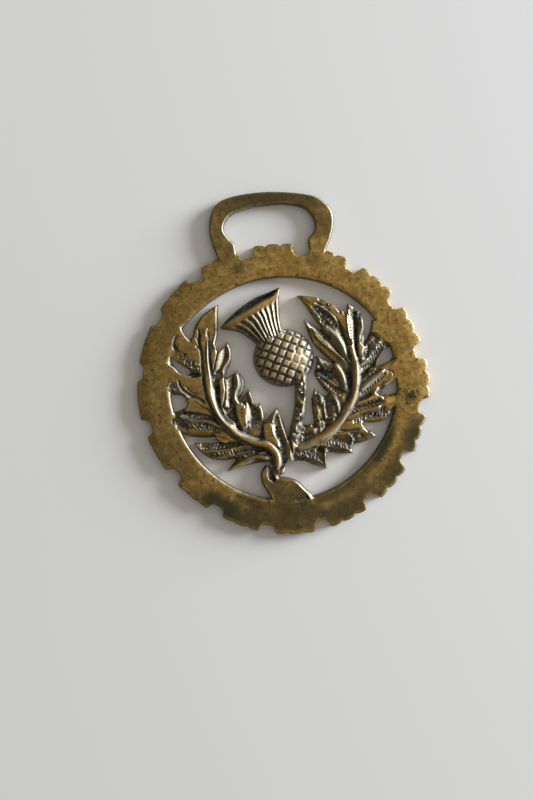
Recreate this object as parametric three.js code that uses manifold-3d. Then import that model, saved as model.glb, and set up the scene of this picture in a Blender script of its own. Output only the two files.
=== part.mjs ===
// A thistle horse brass: a flat cast brass pendant with a scalloped ring, a hanger loop for the
// strap, and a thistle in a wreath of two leafy branches, pierced right through between the leaves.
// Millimetres, lying on its flat back: +Z up, +Y towards the hanger. Plan positions are measured
// from the middle of the ring, and the finished casting is then centred over its own box.
import * as THREE from 'three';
import * as BufferGeometryUtils from 'three/addons/utils/BufferGeometryUtils.js';
import Module from 'manifold-3d';

const wasm = await Module();
wasm.setup();

// ---- Ring -------------------------------------------------------------------------------------
const PETALS = 16;
const RING = {
  petal: 37.75,       // radius over a petal's hump
  turn: -0.7,         // the first petal's middle, degrees
  scoop: 2.6,         // depth of the round scoop between two petals
  notch: 0.85,        // depth of the notches that leave a hump and two horns on a petal
  inner: 29.1,        // radius of the opening
  side: 1.9,          // height of the outer side
  top: 2.9,           // height of the face
  lip: 1.5,           // height of the inner lip
  lipWidth: 1.5,
};
// Half a petal, from its middle out: offset in degrees, share of the notch, share of the scoop.
const HALF_PETAL = [
  [0, 0, 0], [1.9, 0.2, 0], [3.0, 1, 0], [4.1, 0.3, 0], [5.5, 0, 0], [7.1, 0, 0.1],
  [7.85, 0, 0.35], [8.55, 0, 0.7], [9.5, 0, 0.93], [11.25, 0, 1],
];
// Casting and wear: amount, the direction where it is greatest and its spread in degrees.
const EDGE_SWELL = [[0.5, 145, 42], [-1.05, 232, 26], [-0.4, 337, 12], [0.35, 356, 10], [-0.35, 202, 12]];
const SCOOP_WEAR = [[-1.3, 158, 32], [-0.6, 245, 30], [0.45, 90, 22]];
const NOTCH_WEAR = [[-1, 185, 75]];
const OPENING_POINTS = 60;
const FLAT_BACK = 0;
const BURIED = -0.6;      // every shape starts below the back and is trimmed flat

// ---- Hanger -----------------------------------------------------------------------------------
const HANGER = { height: 2.7, bevel: 0.55 };
const HANGER_OUTLINE = [
  [-11.5, 31], [-13.4, 34.2], [-14.6, 37.2], [-15.5, 41], [-15.3, 45.4], [-13.4, 49.1], [-9.4, 50.9],
  [-1.5, 51.5], [6.5, 50.7], [12.4, 49.2], [15.7, 46.5], [16.8, 43.2], [15.9, 38.8], [13.6, 34.2], [11.5, 31],
];
const BAR_HALF = 3.6;     // straight stretch of the bar that the strap bears on
const BAR_UNDERSIDE = 48.1;
const SLOT_LEFT = [[-8.6, 46.9], [-10.9, 45.2], [-11.9, 42.6], [-10.6, 40.1], [-9.3, 38.4], [-9.2, 35.4]];
const SLOT_RIGHT = [[9.9, 35.4], [9.7, 38.2], [11.2, 39.8], [11.9, 42.2], [10.9, 45], [8.4, 47]];
const SLOT_FOOT = [[-8.4, 33], [8.6, 32.6]];   // inside the ring, whose top petal stands in the slot

// ---- Leaves -----------------------------------------------------------------------------------
// Each leaf: foot, tip, bow (the spine's sideways bend as a share of its length, towards the left
// when positive), widths left and right of the spine, where along it the leaf is widest, how wide
// its foot is as a share of that, and the height of its crest.
const LEAF_EDGE = 1.7;    // height of a leaf's edge
const LEAF_ROWS = 5;
const LEFT_BRANCH = [
  [[-18.9, 5.5], [-15.0, 23.4], 0.09, 3.9, 2.3, 0.56, 0.45, 4.2],
  [[-19.0, 6.8], [-31.0, 18.8], 0.03, 3.2, 3.4, 0.55, 0.6, 3.9],
  [[-18.6, 0.6], [-34.0, 8.0], 0.0, 3.2, 2.0, 0.55, 0.7, 3.8],
  [[-17.5, -4.0], [-25.6, -0.4], 0.0, 2.2, 2.5, 0.5, 0.8, 3.6],
  [[-15.0, -7.8], [-31.0, -4.2], 0.07, 3.2, 2.7, 0.55, 0.7, 3.7],
  [[-11.5, -12.0], [-20.0, -9.3], 0.0, 1.6, 1.1, 0.4, 0.7, 3.8],
  [[-9.5, -13.4], [-24.5, -11.7], 0.15, 2.1, 2.3, 0.6, 0.5, 3.7],
  [[-6.0, -15.2], [-15.0, -15.6], 0.05, 2.2, 1.6, 0.5, 0.7, 3.2],
  [[-4.6, -17.2], [-16.5, -19.9], -0.13, 1.7, 1.4, 0.4, 0.7, 3.5],
  [[-18.3, 2.4], [-13.4, 13.5], -0.07, 2.5, 1.5, 0.62, 0.5, 4.3],
  [[-16.8, -5.2], [-11.6, 5.8], -0.08, 2.9, 2.2, 0.74, 0.3, 4.4],
  [[-12.6, -10.4], [-9.0, 0.9], -0.03, 2.3, 2.1, 0.5, 0.7, 4.4],
  [[-9.2, -11.8], [-6.5, -2.9], -0.04, 2.0, 1.6, 0.5, 0.7, 3.8],
  [[-1.8, -16.4], [-2.7, -5], 0.17, 2.0, 0.8, 0.5, 0.9, 4.1],
  [[-2.5, -21.4], [-2.3, -4.5], -0.11, 1.3, 0.9, 0.35, 0.6, 4.5],
];
const RIGHT_BRANCH = [
  [[18.2, 7.0], [5.6, 23.9], -0.15, 3.9, 2.3, 0.55, 0.4, 4.4],
  [[17.9, 3.2], [6.8, 17.5], 0.0, 2.5, 1.6, 0.58, 0.35, 3.9],
  [[17.8, 6.0], [11.0, 16.3], -0.05, 1.6, 1.5, 0.5, 0.6, 4.2],
  [[16.8, -2.0], [8.9, 8.0], -0.04, 2.2, 1.5, 0.5, 0.6, 4.1],
  [[15.6, -4.6], [8.2, 3.0], -0.04, 1.6, 2.2, 0.5, 0.7, 3.6],
  [[11.8, -10.8], [12.2, -1.7], -0.02, 2.2, 2.4, 0.5, 0.6, 4.2],
  [[14.5, -8.5], [14.9, -3.2], 0.0, 1.2, 1.6, 0.5, 0.9, 3.0],
  [[8.4, -12.4], [7.9, -0.4], 0.0, 1.3, 1.9, 0.6, 0.8, 3.9],
  [[18.9, 6.0], [18.4, 20.6], -0.1, 1.7, 2.2, 0.72, 0.5, 4.1],
  [[19.2, 3.0], [28.4, 14.8], -0.03, 2.3, 2.2, 0.58, 0.6, 3.8],
  [[18.6, -2.6], [33.0, 5.4], 0.0, 2.5, 2.3, 0.5, 0.6, 3.8],
  [[16.2, -7.2], [31.0, -4.9], 0.0, 2.4, 2.6, 0.5, 0.6, 3.7],
  [[16.5, -8.0], [27.6, -7.9], -0.08, 1.6, 1.8, 0.65, 0.5, 3.3],
  [[13.0, -11.0], [20.7, -9.3], 0.0, 1.2, 1.3, 0.5, 0.7, 3.4],
  [[11.0, -12.8], [22.8, -14.1], 0.05, 2.0, 2.5, 0.55, 0.5, 3.9],
  [[6.6, -14.6], [16.4, -17.9], 0.09, 2.1, 2.2, 0.55, 0.5, 3.8],
  [[0.4, -16.6], [9.3, -21.4], 0.13, 2.2, 1.8, 0.58, 0.9, 3.7],
  [[6.6, -14.6], [6.0, -9.4], 0.0, 2.4, 2.2, 0.45, 0.9, 2.9],
  [[2.6, -16.2], [2.4, -7.6], 0.0, 2.3, 2.6, 0.4, 0.9, 3.2],
];

// ---- Webs: thin metal that joins the leaves of a branch and bounds the piercings between them ----
const WEB = { height: 1.45 };
const WEBS = [
  [[-17.6, 17], [-16.4, 11.9], [-14.9, 4.9], [-12.4, -0.6], [-11.8, -2.3], [-10.6, -2.9], [-9.7, -2.1],
    [-6.6, -3.6], [-6, -8.1], [-4.4, -7.4], [-2.2, -8], [0, -13.5], [0, -18], [-3, -21], [-5.6, -18.2],
    [-9, -17.8], [-14.2, -17.7], [-14.4, -15.9], [-18, -12.1], [-18.9, -11], [-19.2, -9.6], [-23.8, -9.1],
    [-28.2, -6.8], [-29.5, -3.6], [-27.2, -2.9], [-25.8, -2.4], [-25.1, -1.2], [-25.4, 0], [-26.6, 0.9],
    [-30.6, 1.5], [-30.6, 10.4], [-28.9, 10.1], [-26.8, 7], [-24.8, 5.4], [-23.6, 6.8], [-25.5, 9.4],
    [-28.2, 12.4], [-31, 13], [-29, 18.5], [-25.1, 18], [-24.2, 16.1], [-23.2, 14.4], [-21.8, 17]],
  [[16.4, 18.5], [10.6, 14.5], [11.2, 10.2], [14.6, 6.2], [12.8, 5.8], [9.4, 7.2], [8.2, 3.4],
    [10.4, 0.3], [11.6, -1], [11.4, -2.2], [9.9, -2.8], [8.4, -1.2], [6.8, -3], [7.4, -8.3], [6.9, -9.6],
    [5.4, -9.8], [3, -9], [0, -14], [0, -18.6], [4.5, -19], [9.2, -19], [9.4, -17.4], [12, -17.2],
    [16.2, -15.8], [20.4, -15.2], [20, -11.8], [19.4, -10.7], [20.6, -9.9], [24.6, -10], [27.2, -7.8],
    [29.6, -5], [29.6, -3.2], [26.9, -3.9], [25.4, -4.5], [24.5, -3.6], [26, -1.8], [28.4, -0.2],
    [30.4, 0.6], [30.4, 7], [28.7, 5.6], [27.5, 4.5], [26, 3.9], [24.2, 3.6], [25, 5.2], [26.2, 7.4],
    [27.2, 8.4], [29.6, 9], [28, 15], [24.4, 15.9], [23.8, 13.6], [22.6, 11], [21.4, 10], [20.4, 11.6],
    [20.8, 17]],
];

// ---- Stems: the spine's points, half-widths at both ends, height of the ridge -------------------
const STEM_EDGE = 2.4;
const STEM_ROWS = 14;
const STEMS = [
  [[[-17.5, 18.5], [-18.8, 12], [-19, 6], [-18.4, -0.5], [-15.7, -6.4], [-11.6, -11], [-7, -13.6],
    [-3.9, -15.8], [-3.1, -18.4], [-4.4, -22]], 0.5, 1.1, 4.6],
  [[[16.7, 18.5], [18.2, 12], [19, 6], [19, 0.5], [17.3, -4.4], [13.8, -9.4], [9.4, -12.8],
    [4.8, -14.9], [0, -16.2]], 0.6, 0.8, 4.5],
  [[[4.8, 3], [4.3, -0.5], [3.9, -4], [3.1, -7.5], [2, -11], [1, -15]], 1.5, 1.5, 4.6],
];

// ---- Thistle ----------------------------------------------------------------------------------
const BULB = { x: 0.6, y: 8.2, z: 0.9, rx: 7.85, ry: 7.5, rz: 4.7 };
const STUD = { size: 1.35, pitch: 2.05, rise: 0.42, depth: 0.9, rows: -26, columns: 63, reach: 0.92 };
const STUD_SHIFT = [-0.4, 0.5];          // of the grid against the bulb's middle, in pitches
const STUD_WORN = { x: 4.3, y: 7.4, r: 1.9 };   // rubbed smooth here
const FLUTES = 9;
const CROWN = { neck: 4.1, lip: 5.3, flute: 0.55, barrel: 0.5, hollow: 2.5, rim: 3.7, rows: 4, tuck: -0.4 };
const CROWN_LEFT = [[-5.7, 12], [-8.0, 14.2], [-10.6, 16.0], [-14.9, 17.1]];
const CROWN_RIGHT = [[1.0, 14.6], [0.6, 18.5], [0.7, 22], [1.1, 25.8]];
const CROWN_LIP = [
  [-14.9, 17.1], [-12.4, 18.5], [-9, 20.2], [-6, 21.6], [-3.5, 22.9], [-1, 23.9], [1.1, 25.8],
];
const CROWN_RIM = [[-15, 17.4], [-13, 19.4], [-9.4, 22], [-5.5, 24.2], [-2, 25.3], [1.2, 26.4]];
const HOLLOW_WALL = 0.55;   // share of the crescent that the thin back wall leaves open

// ---- Root: a low mound on the ring, with a hook on its left and an arm along its right edge ----
const ROOT = { height: 2.7, bevel: 0.45 };
const ROOT_OUTLINE = [
  [-6.9, -19.3], [-8.0, -21.3], [-7.8, -23.8], [-6.2, -26.8], [-4.4, -29.6], [3.4, -30], [4.9, -28],
  [3.3, -26.1], [1.5, -24], [-0.8, -22.9], [-3.2, -22.3], [-4.6, -21.2], [-5.7, -19.4],
];
const ROOT_RIDGES = [
  [[-4.6, -28.2], [-6.9, -19.4], 0.13, 1.2, 1.3, 0.5, 0.9, 4.0],
  [[4.2, -28.8], [-5.4, -22.9], -0.17, 2.4, 0.9, 0.45, 0.8, 4.1],
];

const finish = new THREE.MeshStandardMaterial({ color: 0x87692f, roughness: 0.48, metalness: 0.9 });
const CASTING = 'thistle_brass_casting';

const rad = THREE.MathUtils.degToRad;
const points2 = (list) => list.map(([x, y]) => new THREE.Vector2(x, y));
const bumpAt = (deg, middle, width) => {
  const off = Math.abs(((deg - middle + 540) % 360) - 180);
  return Math.exp(-((off / width) ** 2));
};

/** A closed three.js geometry as a solid that can be joined and cut. */
function solid(geometry) {
  const bare = geometry.index ? geometry.clone() : geometry;
  for (const name of ['normal', 'uv']) bare.deleteAttribute(name);
  const merged = BufferGeometryUtils.mergeVertices(bare, 1e-5);
  return new wasm.Manifold(new wasm.Mesh({
    numProp: 3,
    vertProperties: new Float32Array(merged.attributes.position.array),
    triVerts: new Uint32Array(merged.index.array),
  }));
}

/** A relief over a bent rectangular patch: its top follows surface(u, v), u to the right and v
 *  ahead, with upright sides down to a flat underside. */
function relief(us, vs, surface) {
  const top = [], foot = [];
  for (const v of vs) {
    for (const u of us) {
      const p = surface(u, v);
      top.push(p);
      foot.push(new THREE.Vector3(p.x, p.y, BURIED));
    }
  }
  const columns = us.length, rows = vs.length, underside = top.length;
  const index = [];
  const quad = (a, b, c, d) => index.push(a, b, c, a, c, d);
  for (let j = 0; j + 1 < rows; j++) {
    for (let i = 0; i + 1 < columns; i++) {
      const a = j * columns + i, b = a + 1, c = b + columns, d = a + columns;
      quad(a, b, c, d);
      quad(underside + d, underside + c, underside + b, underside + a);
    }
  }
  const wall = (a, b) => quad(underside + a, underside + b, b, a);
  for (let i = 0; i + 1 < columns; i++) {
    wall(i, i + 1);
    wall((rows - 1) * columns + i + 1, (rows - 1) * columns + i);
  }
  for (let j = 0; j + 1 < rows; j++) {
    wall((j + 1) * columns, j * columns);
    wall(j * columns + columns - 1, (j + 1) * columns + columns - 1);
  }
  const geometry = new THREE.BufferGeometry();
  geometry.setFromPoints([...top, ...foot]);
  geometry.setIndex(index);
  return solid(geometry);
}

/** A flat outline raised to a height, with a bevelled top edge. */
function plate(outline, height, bevel, sides = 1) {
  const geometry = new THREE.ExtrudeGeometry(new THREE.Shape(outline), {
    depth: height - bevel - BURIED, bevelEnabled: bevel > 0, bevelThickness: bevel, bevelSize: bevel,
    bevelOffset: -bevel, bevelSegments: sides, steps: 1, curveSegments: 1,
  });
  return solid(geometry.translate(0, 0, BURIED));
}

const steps = (n) => Array.from({ length: n + 1 }, (_, i) => i / n);

const swell = (list, deg) => list.reduce((sum, [by, at, spread]) => sum + by * bumpAt(deg, at, spread), 0);

/** The ring's scalloped outer edge, petal by petal. */
function edge() {
  const mirrored = HALF_PETAL.slice(1, -1).reverse().map(([offset, ...rest]) => [-offset, ...rest]);
  const outline = [];
  for (let petal = 0; petal < PETALS; petal++) {
    for (const [offset, notch, scoop] of [...mirrored, ...HALF_PETAL]) {
      const deg = RING.turn + 360 / PETALS * petal + offset;
      const r = RING.petal + swell(EDGE_SWELL, deg)
        - notch * Math.max(0, RING.notch * (1 + swell(NOTCH_WEAR, deg)))
        - scoop * (RING.scoop + swell(SCOOP_WEAR, deg));
      outline.push(new THREE.Vector2(r * Math.cos(rad(deg)), r * Math.sin(rad(deg))));
    }
  }
  return outline;
}

/** Radius of the opening, a little wider towards the upper left, where the wreath runs out to it. */
const openingRadius = (deg) => RING.inner + 0.55 * Math.sin(rad(deg)) + 0.3 * Math.sin(rad(3 * deg))
  + 0.25 * Math.cos(rad(2 * deg)) + 1.1 * bumpAt(deg, 150, 17);

function around(radius, count, z) {
  return steps(count).slice(0, count).map((t) => {
    const a = rad(360 * t);
    return new THREE.Vector3(radius(360 * t) * Math.cos(a), radius(360 * t) * Math.sin(a), z);
  });
}

/** A solid skinned over rings of points that stand above each other. */
function stack(rings) {
  const n = rings[0].length, points = rings.flat(), index = [];
  for (let k = 0; k + 1 < rings.length; k++) {
    for (let i = 0; i < n; i++) {
      const a = k * n + i, b = k * n + ((i + 1) % n);
      index.push(a, b, b + n, a, b + n, a + n);
    }
  }
  const foot = points.length;
  points.push(new THREE.Vector3(0, 0, rings[0][0].z), new THREE.Vector3(0, 0, rings.at(-1)[0].z));
  for (let i = 0; i < n; i++) {
    index.push(foot, (i + 1) % n, i);
    index.push(foot + 1, (rings.length - 1) * n + i, (rings.length - 1) * n + ((i + 1) % n));
  }
  return solid(new THREE.BufferGeometry().setFromPoints(points).setIndex(index));
}

function ring() {
  const outline = plate(edge(), RING.top + 1, 0);
  const reach = RING.petal + 2;
  const profile = points2([
    [0, BURIED], [reach, BURIED], [reach, RING.side], [RING.petal, RING.side + 0.05],
    [RING.petal - 1.6, RING.side + 0.62], [RING.petal - 3.2, RING.top], [0, RING.top],
  ]);
  const face = solid(new THREE.LatheGeometry(profile, 64).rotateX(Math.PI / 2));
  const level = (by, z) => around((deg) => openingRadius(deg) + by, OPENING_POINTS, z);
  const opening = stack([
    level(0, BURIED - 1), level(0, RING.lip), level(RING.lipWidth * 0.5, RING.lip + 0.95),
    level(RING.lipWidth, RING.top + 0.02), level(RING.lipWidth, RING.top + 2),
  ]);
  return outline.intersect(face).subtract(opening);
}

function hanger() {
  const outer = new THREE.SplineCurve(points2(HANGER_OUTLINE)).getPoints(30);
  const left = new THREE.SplineCurve(points2([[-BAR_HALF, BAR_UNDERSIDE], ...SLOT_LEFT])).getPoints(12);
  const right = new THREE.SplineCurve(points2([...SLOT_RIGHT, [BAR_HALF, BAR_UNDERSIDE]])).getPoints(12);
  const foot = new THREE.SplineCurve(points2(SLOT_FOOT)).getPoints(8);
  const slot = new THREE.Shape([...left, ...foot, ...right]).getPoints();
  return plate(outer, HANGER.height, HANGER.bevel, 2).subtract(plate(slot, HANGER.height + 1, 0));
}

function leaf([foot, tip, bow, left, right, belly, footShare, crest]) {
  const a = new THREE.Vector2(...foot), b = new THREE.Vector2(...tip);
  const along = b.clone().sub(a);
  const middle = a.clone().add(b).multiplyScalar(0.5)
    .add(new THREE.Vector2(-along.y, along.x).multiplyScalar(2 * bow));
  const spine = new THREE.QuadraticBezierCurve(a, middle, b);
  const share = (v) => (v < belly
    ? footShare + (1 - footShare) * Math.sin(Math.PI / 2 * v / belly)
    : Math.max(0.03, Math.cos(Math.PI / 2 * (v - belly) / (1 - belly))));
  return relief([-1, -0.5, 0, 0.5, 1], steps(LEAF_ROWS), (u, v) => {
    const p = spine.getPoint(v), t = spine.getTangent(v);
    const w = u * share(v) * (u < 0 ? left : right);
    const tall = crest - (crest - LEAF_EDGE - 0.9) * Math.max(0, (v - 0.7) / 0.3) ** 2;
    const z = LEAF_EDGE + (tall - LEAF_EDGE) * (1 - Math.abs(u) ** 1.6);
    return new THREE.Vector3(p.x + t.y * w, p.y - t.x * w, z);
  });
}

function stem([spinePoints, startHalf, endHalf, ridge]) {
  const spine = new THREE.SplineCurve(points2(spinePoints));
  return relief([-1, -0.6, 0, 0.6, 1], steps(STEM_ROWS), (u, v) => {
    const p = spine.getPointAt(v), t = spine.getTangentAt(v);
    const w = u * THREE.MathUtils.lerp(startHalf, endHalf, v);
    const z = STEM_EDGE + (ridge - STEM_EDGE) * Math.sqrt(1 - u * u);
    return new THREE.Vector3(p.x + t.y * w, p.y - t.x * w, z);
  });
}

function bulb() {
  const dome = new THREE.SphereGeometry(1, 24, 10).scale(BULB.rx, BULB.rz, BULB.ry).rotateX(Math.PI / 2)
    .translate(BULB.x, BULB.y, BULB.z);
  let body = solid(dome);
  const across = new THREE.Vector2(1, 0).rotateAround(new THREE.Vector2(), rad(STUD.rows));
  const up = new THREE.Vector2(1, 0).rotateAround(new THREE.Vector2(), rad(STUD.columns));
  for (let i = -5; i <= 5; i++) {
    for (let j = -5; j <= 5; j++) {
      const at = across.clone().multiplyScalar((i + STUD_SHIFT[0]) * STUD.pitch)
        .addScaledVector(up, (j + STUD_SHIFT[1]) * STUD.pitch);
      const nx = at.x / BULB.rx, ny = at.y / BULB.ry, r = Math.hypot(nx, ny);
      const worn = Math.hypot(BULB.x + at.x - STUD_WORN.x, BULB.y + at.y - STUD_WORN.y) < STUD_WORN.r;
      if (r > STUD.reach || worn) continue;
      const nz = Math.sqrt(1 - r * r);
      const normal = new THREE.Vector3(nx / BULB.rx, ny / BULB.ry, nz / BULB.rz).normalize();
      const stud = new THREE.BoxGeometry(STUD.size, STUD.size, STUD.depth);
      stud.translate(0, 0, STUD.rise - STUD.depth / 2).rotateZ(rad(STUD.rows));
      stud.applyQuaternion(new THREE.Quaternion().setFromUnitVectors(new THREE.Vector3(0, 0, 1), normal));
      stud.translate(BULB.x + at.x, BULB.y + at.y, BULB.z + BULB.rz * nz);
      body = body.add(solid(stud));
    }
  }
  return body;
}

/** The florets: a fluted fan that opens from the neck to the lip, with a hollow behind the lip. */
function crown() {
  const curve = (list) => new THREE.SplineCurve(points2(list));
  const left = curve(CROWN_LEFT), right = curve(CROWN_RIGHT), lip = curve(CROWN_LIP), rim = curve(CROWN_RIM);
  // A patch bounded by the two sides and the lip, with a straight neck.
  const chordAt = (u) => left.getPoint(1).lerp(right.getPoint(1), u);
  const fan = (u, v) => left.getPoint(v).lerp(right.getPoint(v), u)
    .addScaledVector(lip.getPoint(u).sub(chordAt(u)), v);
  const us = steps(2 * FLUTES);
  const fluted = relief(us, steps(CROWN.rows), (u, v) => {
    const p = fan(u, v), ridge = Math.abs(Math.sin(Math.PI * FLUTES * u));
    const depth = CROWN.flute * Math.min(1, 2.5 * (1 - v) + 0.15);
    const z = THREE.MathUtils.lerp(CROWN.neck, CROWN.lip, v) + CROWN.barrel * Math.sin(Math.PI * u)
      - depth * (1 - ridge) - 1.6 * (1 - u) ** 4;
    return new THREE.Vector3(p.x, p.y, z);
  });
  const hollow = relief(steps(10), [CROWN.tuck, HOLLOW_WALL, 0.8, 1], (u, v) => {
    const p = lip.getPoint(u).lerp(rim.getPoint(u), v);
    return new THREE.Vector3(p.x, p.y, v > HOLLOW_WALL ? CROWN.rim : CROWN.hollow);
  });
  return fluted.add(hollow);
}

function root() {
  const outline = new THREE.SplineCurve(points2([...ROOT_OUTLINE, ROOT_OUTLINE[0]])).getPoints(24);
  return plate(outline.slice(0, -1), ROOT.height, ROOT.bevel, 2);
}

let casting = ring().add(hanger());
for (const outline of WEBS) casting = casting.add(plate(points2(outline), WEB.height, 0));
casting = casting.add(root());
for (const shape of [...LEFT_BRANCH, ...RIGHT_BRANCH, ...ROOT_RIDGES]) casting = casting.add(leaf(shape));
for (const shape of STEMS) casting = casting.add(stem(shape));
casting = casting.add(crown()).add(bulb());
const above = new THREE.BoxGeometry(200, 200, 20).translate(0, 0, FLAT_BACK + 10);
casting = casting.intersect(solid(above));

const cast = casting.getMesh();
const geometry = new THREE.BufferGeometry();
geometry.setAttribute('position', new THREE.BufferAttribute(cast.vertProperties, 3));
geometry.setIndex(new THREE.BufferAttribute(cast.triVerts, 1));
geometry.computeBoundingBox();
const box = geometry.boundingBox;
geometry.translate(-(box.min.x + box.max.x) / 2, -(box.min.y + box.max.y) / 2, 0);

const brass = new THREE.Mesh(geometry, finish);
brass.name = CASTING;
const group = new THREE.Group();
group.add(brass);
export default group;
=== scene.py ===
"""A thistle horse brass: the cast solid dressed with its finer relief, patina, wear, painted highlight and
painted shade.

The relief is a height field in millimetres, measured from the middle of the ring. It follows the
solid's plan and carves its leaves finer, and becomes one closed mesh in the solid's place.
"""

import math

import bpy
import numpy as np
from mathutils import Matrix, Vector


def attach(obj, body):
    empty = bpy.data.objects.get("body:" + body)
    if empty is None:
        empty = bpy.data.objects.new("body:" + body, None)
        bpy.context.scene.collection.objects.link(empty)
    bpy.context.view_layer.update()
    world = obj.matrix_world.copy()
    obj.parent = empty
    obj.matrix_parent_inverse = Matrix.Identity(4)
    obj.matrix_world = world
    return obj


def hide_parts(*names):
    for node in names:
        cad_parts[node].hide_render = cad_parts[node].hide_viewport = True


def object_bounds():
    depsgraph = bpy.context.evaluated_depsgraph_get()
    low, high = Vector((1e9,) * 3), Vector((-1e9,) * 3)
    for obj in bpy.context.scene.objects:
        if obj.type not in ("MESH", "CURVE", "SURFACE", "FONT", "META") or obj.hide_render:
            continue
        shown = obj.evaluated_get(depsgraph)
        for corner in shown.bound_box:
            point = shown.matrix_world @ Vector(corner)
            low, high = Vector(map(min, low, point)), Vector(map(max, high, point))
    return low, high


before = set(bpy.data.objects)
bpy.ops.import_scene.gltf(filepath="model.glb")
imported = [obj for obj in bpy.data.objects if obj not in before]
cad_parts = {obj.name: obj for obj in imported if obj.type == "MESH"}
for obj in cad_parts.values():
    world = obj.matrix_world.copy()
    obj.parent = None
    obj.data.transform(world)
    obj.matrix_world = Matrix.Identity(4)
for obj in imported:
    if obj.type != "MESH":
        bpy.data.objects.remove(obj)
CAD_LOW, CAD_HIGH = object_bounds()

MM = 0.001
CASTING = "thistle_brass_casting"
SLOT = "aged_brass"

# ---- Height field -------------------------------------------------------------------------------
PITCH = 0.12       # distance between two samples
MOST_TRIANGLES = 196_000
SOFTEN = 0.085                            # spread of the casting's softness
RING_ROUND = 0.28                         # radius on the upper edge of the ring and the hanger
LEAF_ROUND = 0.6                          # and of the wreath
WREATH_BAND = 1.0                         # half the band over which one radius turns into the other
FILLET = 0.4                              # how softly two forms run into each other
FLANK = 2.2                               # steepness of a form's side where it stands over another
MARGIN = 0.8                              # how far a form's side may reach past its outline
OUTSIDE = -9.0                            # the cover of a sample that no form has reached
THINNEST = 0.3                            # the least height of metal anywhere
CREASE = math.radians(55)                 # edges sharper than this are shaded as edges

# ---- Ring ---------------------------------------------------------------------------------------
PETALS = 16
PETAL = 37.75
TURN = -0.7
SCOOP = 2.6
NOTCH = 0.85
INNER = 29.1
RING_TOP = 2.9
RING_FALL = 0.5           # how far the face falls towards the outer edge
FALL_WIDTH = 3.6          # and over what width
LIP_FALL = 0.35           # how far the inner lip falls, over its width
LIP_WIDTH = 1.5
# Half a petal, from its middle out: offset in degrees, share of the notch, share of the scoop.
HALF_PETAL = [
    (0, 0, 0), (1.9, 0.2, 0), (3.0, 1, 0), (4.1, 0.3, 0), (5.5, 0, 0), (7.35, 0, 0.0),
    (7.9, 0, 0.3), (8.4, 0, 0.7), (9.3, 0, 0.93), (11.25, 0, 1),
]
# Casting and wear: amount, the direction where it is greatest and its spread in degrees.
EDGE_SWELL = [(0.5, 145, 42), (-1.05, 232, 26), (-0.4, 337, 12), (0.35, 356, 10), (-0.35, 202, 12)]
SCOOP_WEAR = [(-1.3, 158, 32), (-0.6, 245, 30), (0.45, 90, 22)]
NOTCH_WEAR = [(-1, 185, 75)]
OPENING_WEAR = [(1.1, 150, 17)]
# The opening's drift from a true circle: upwards, threefold and oval.
OPENING_UP = 0.55
OPENING_LOBES = 0.3
OPENING_OVAL = 0.25
# Waves of the cast face: amount, size and seed.
FACE_WAVES = [(0.035, 2.4, 21), (0.015, 0.8, 22)]

# ---- Hanger -------------------------------------------------------------------------------------
HANGER_TOP = 2.7
HANGER_ROUND = 0.55       # radius along its edges
HANGER_OUTLINE = [
    (-11.5, 31), (-13.4, 34.2), (-14.6, 37.2), (-15.5, 41), (-15.3, 45.4), (-13.4, 49.1), (-9.4, 50.9),
    (-1.5, 51.5), (6.5, 50.7), (12.4, 49.2), (15.7, 46.5), (16.8, 43.2), (15.9, 38.8), (13.6, 34.2),
    (11.5, 31),
]
BAR_HALF = 3.6
BAR_UNDERSIDE = 48.1
SLOT_LEFT = [(-8.6, 46.9), (-10.9, 45.2), (-11.9, 42.6), (-10.6, 40.1), (-9.3, 38.4), (-9.2, 35.4)]
SLOT_RIGHT = [(9.9, 35.4), (9.7, 38.2), (11.2, 39.8), (11.9, 42.2), (10.9, 45), (8.4, 47)]
SLOT_FOOT = [(-8.4, 33), (8.6, 32.6)]

# ---- Leaves -------------------------------------------------------------------------------------
LEAF_EDGE = 2.25          # before the outline's edge is rounded
TIP_FROM = 0.7            # share of a leaf's length from which its crest sinks
TIP_RISE = 0.9            # height of the crest over the edge at the very tip
TIP_SHARE = 0.03          # share of the width that the tip keeps
RUN_OUT = (3, 0.6)        # a leaf sinks from this far inside the ring's opening to this far past it
RUN_OUT_UNDER = 0.3       # and ends this far under the ring's face
# Height across a leaf from its left edge (-1) to its right edge (1), as a share of its crest.
SECTIONS = {
    "ridge": [(-1, 0), (-0.7, 0.4), (-0.2, 0.85), (0, 1), (0.2, 0.85), (0.7, 0.4), (1, 0)],
    "face": [(-1, 0.45), (-0.8, 0.75), (-0.4, 0.88), (0.1, 0.85), (0.5, 0.8), (0.8, 0.7), (1, 0.45)],
}
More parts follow.
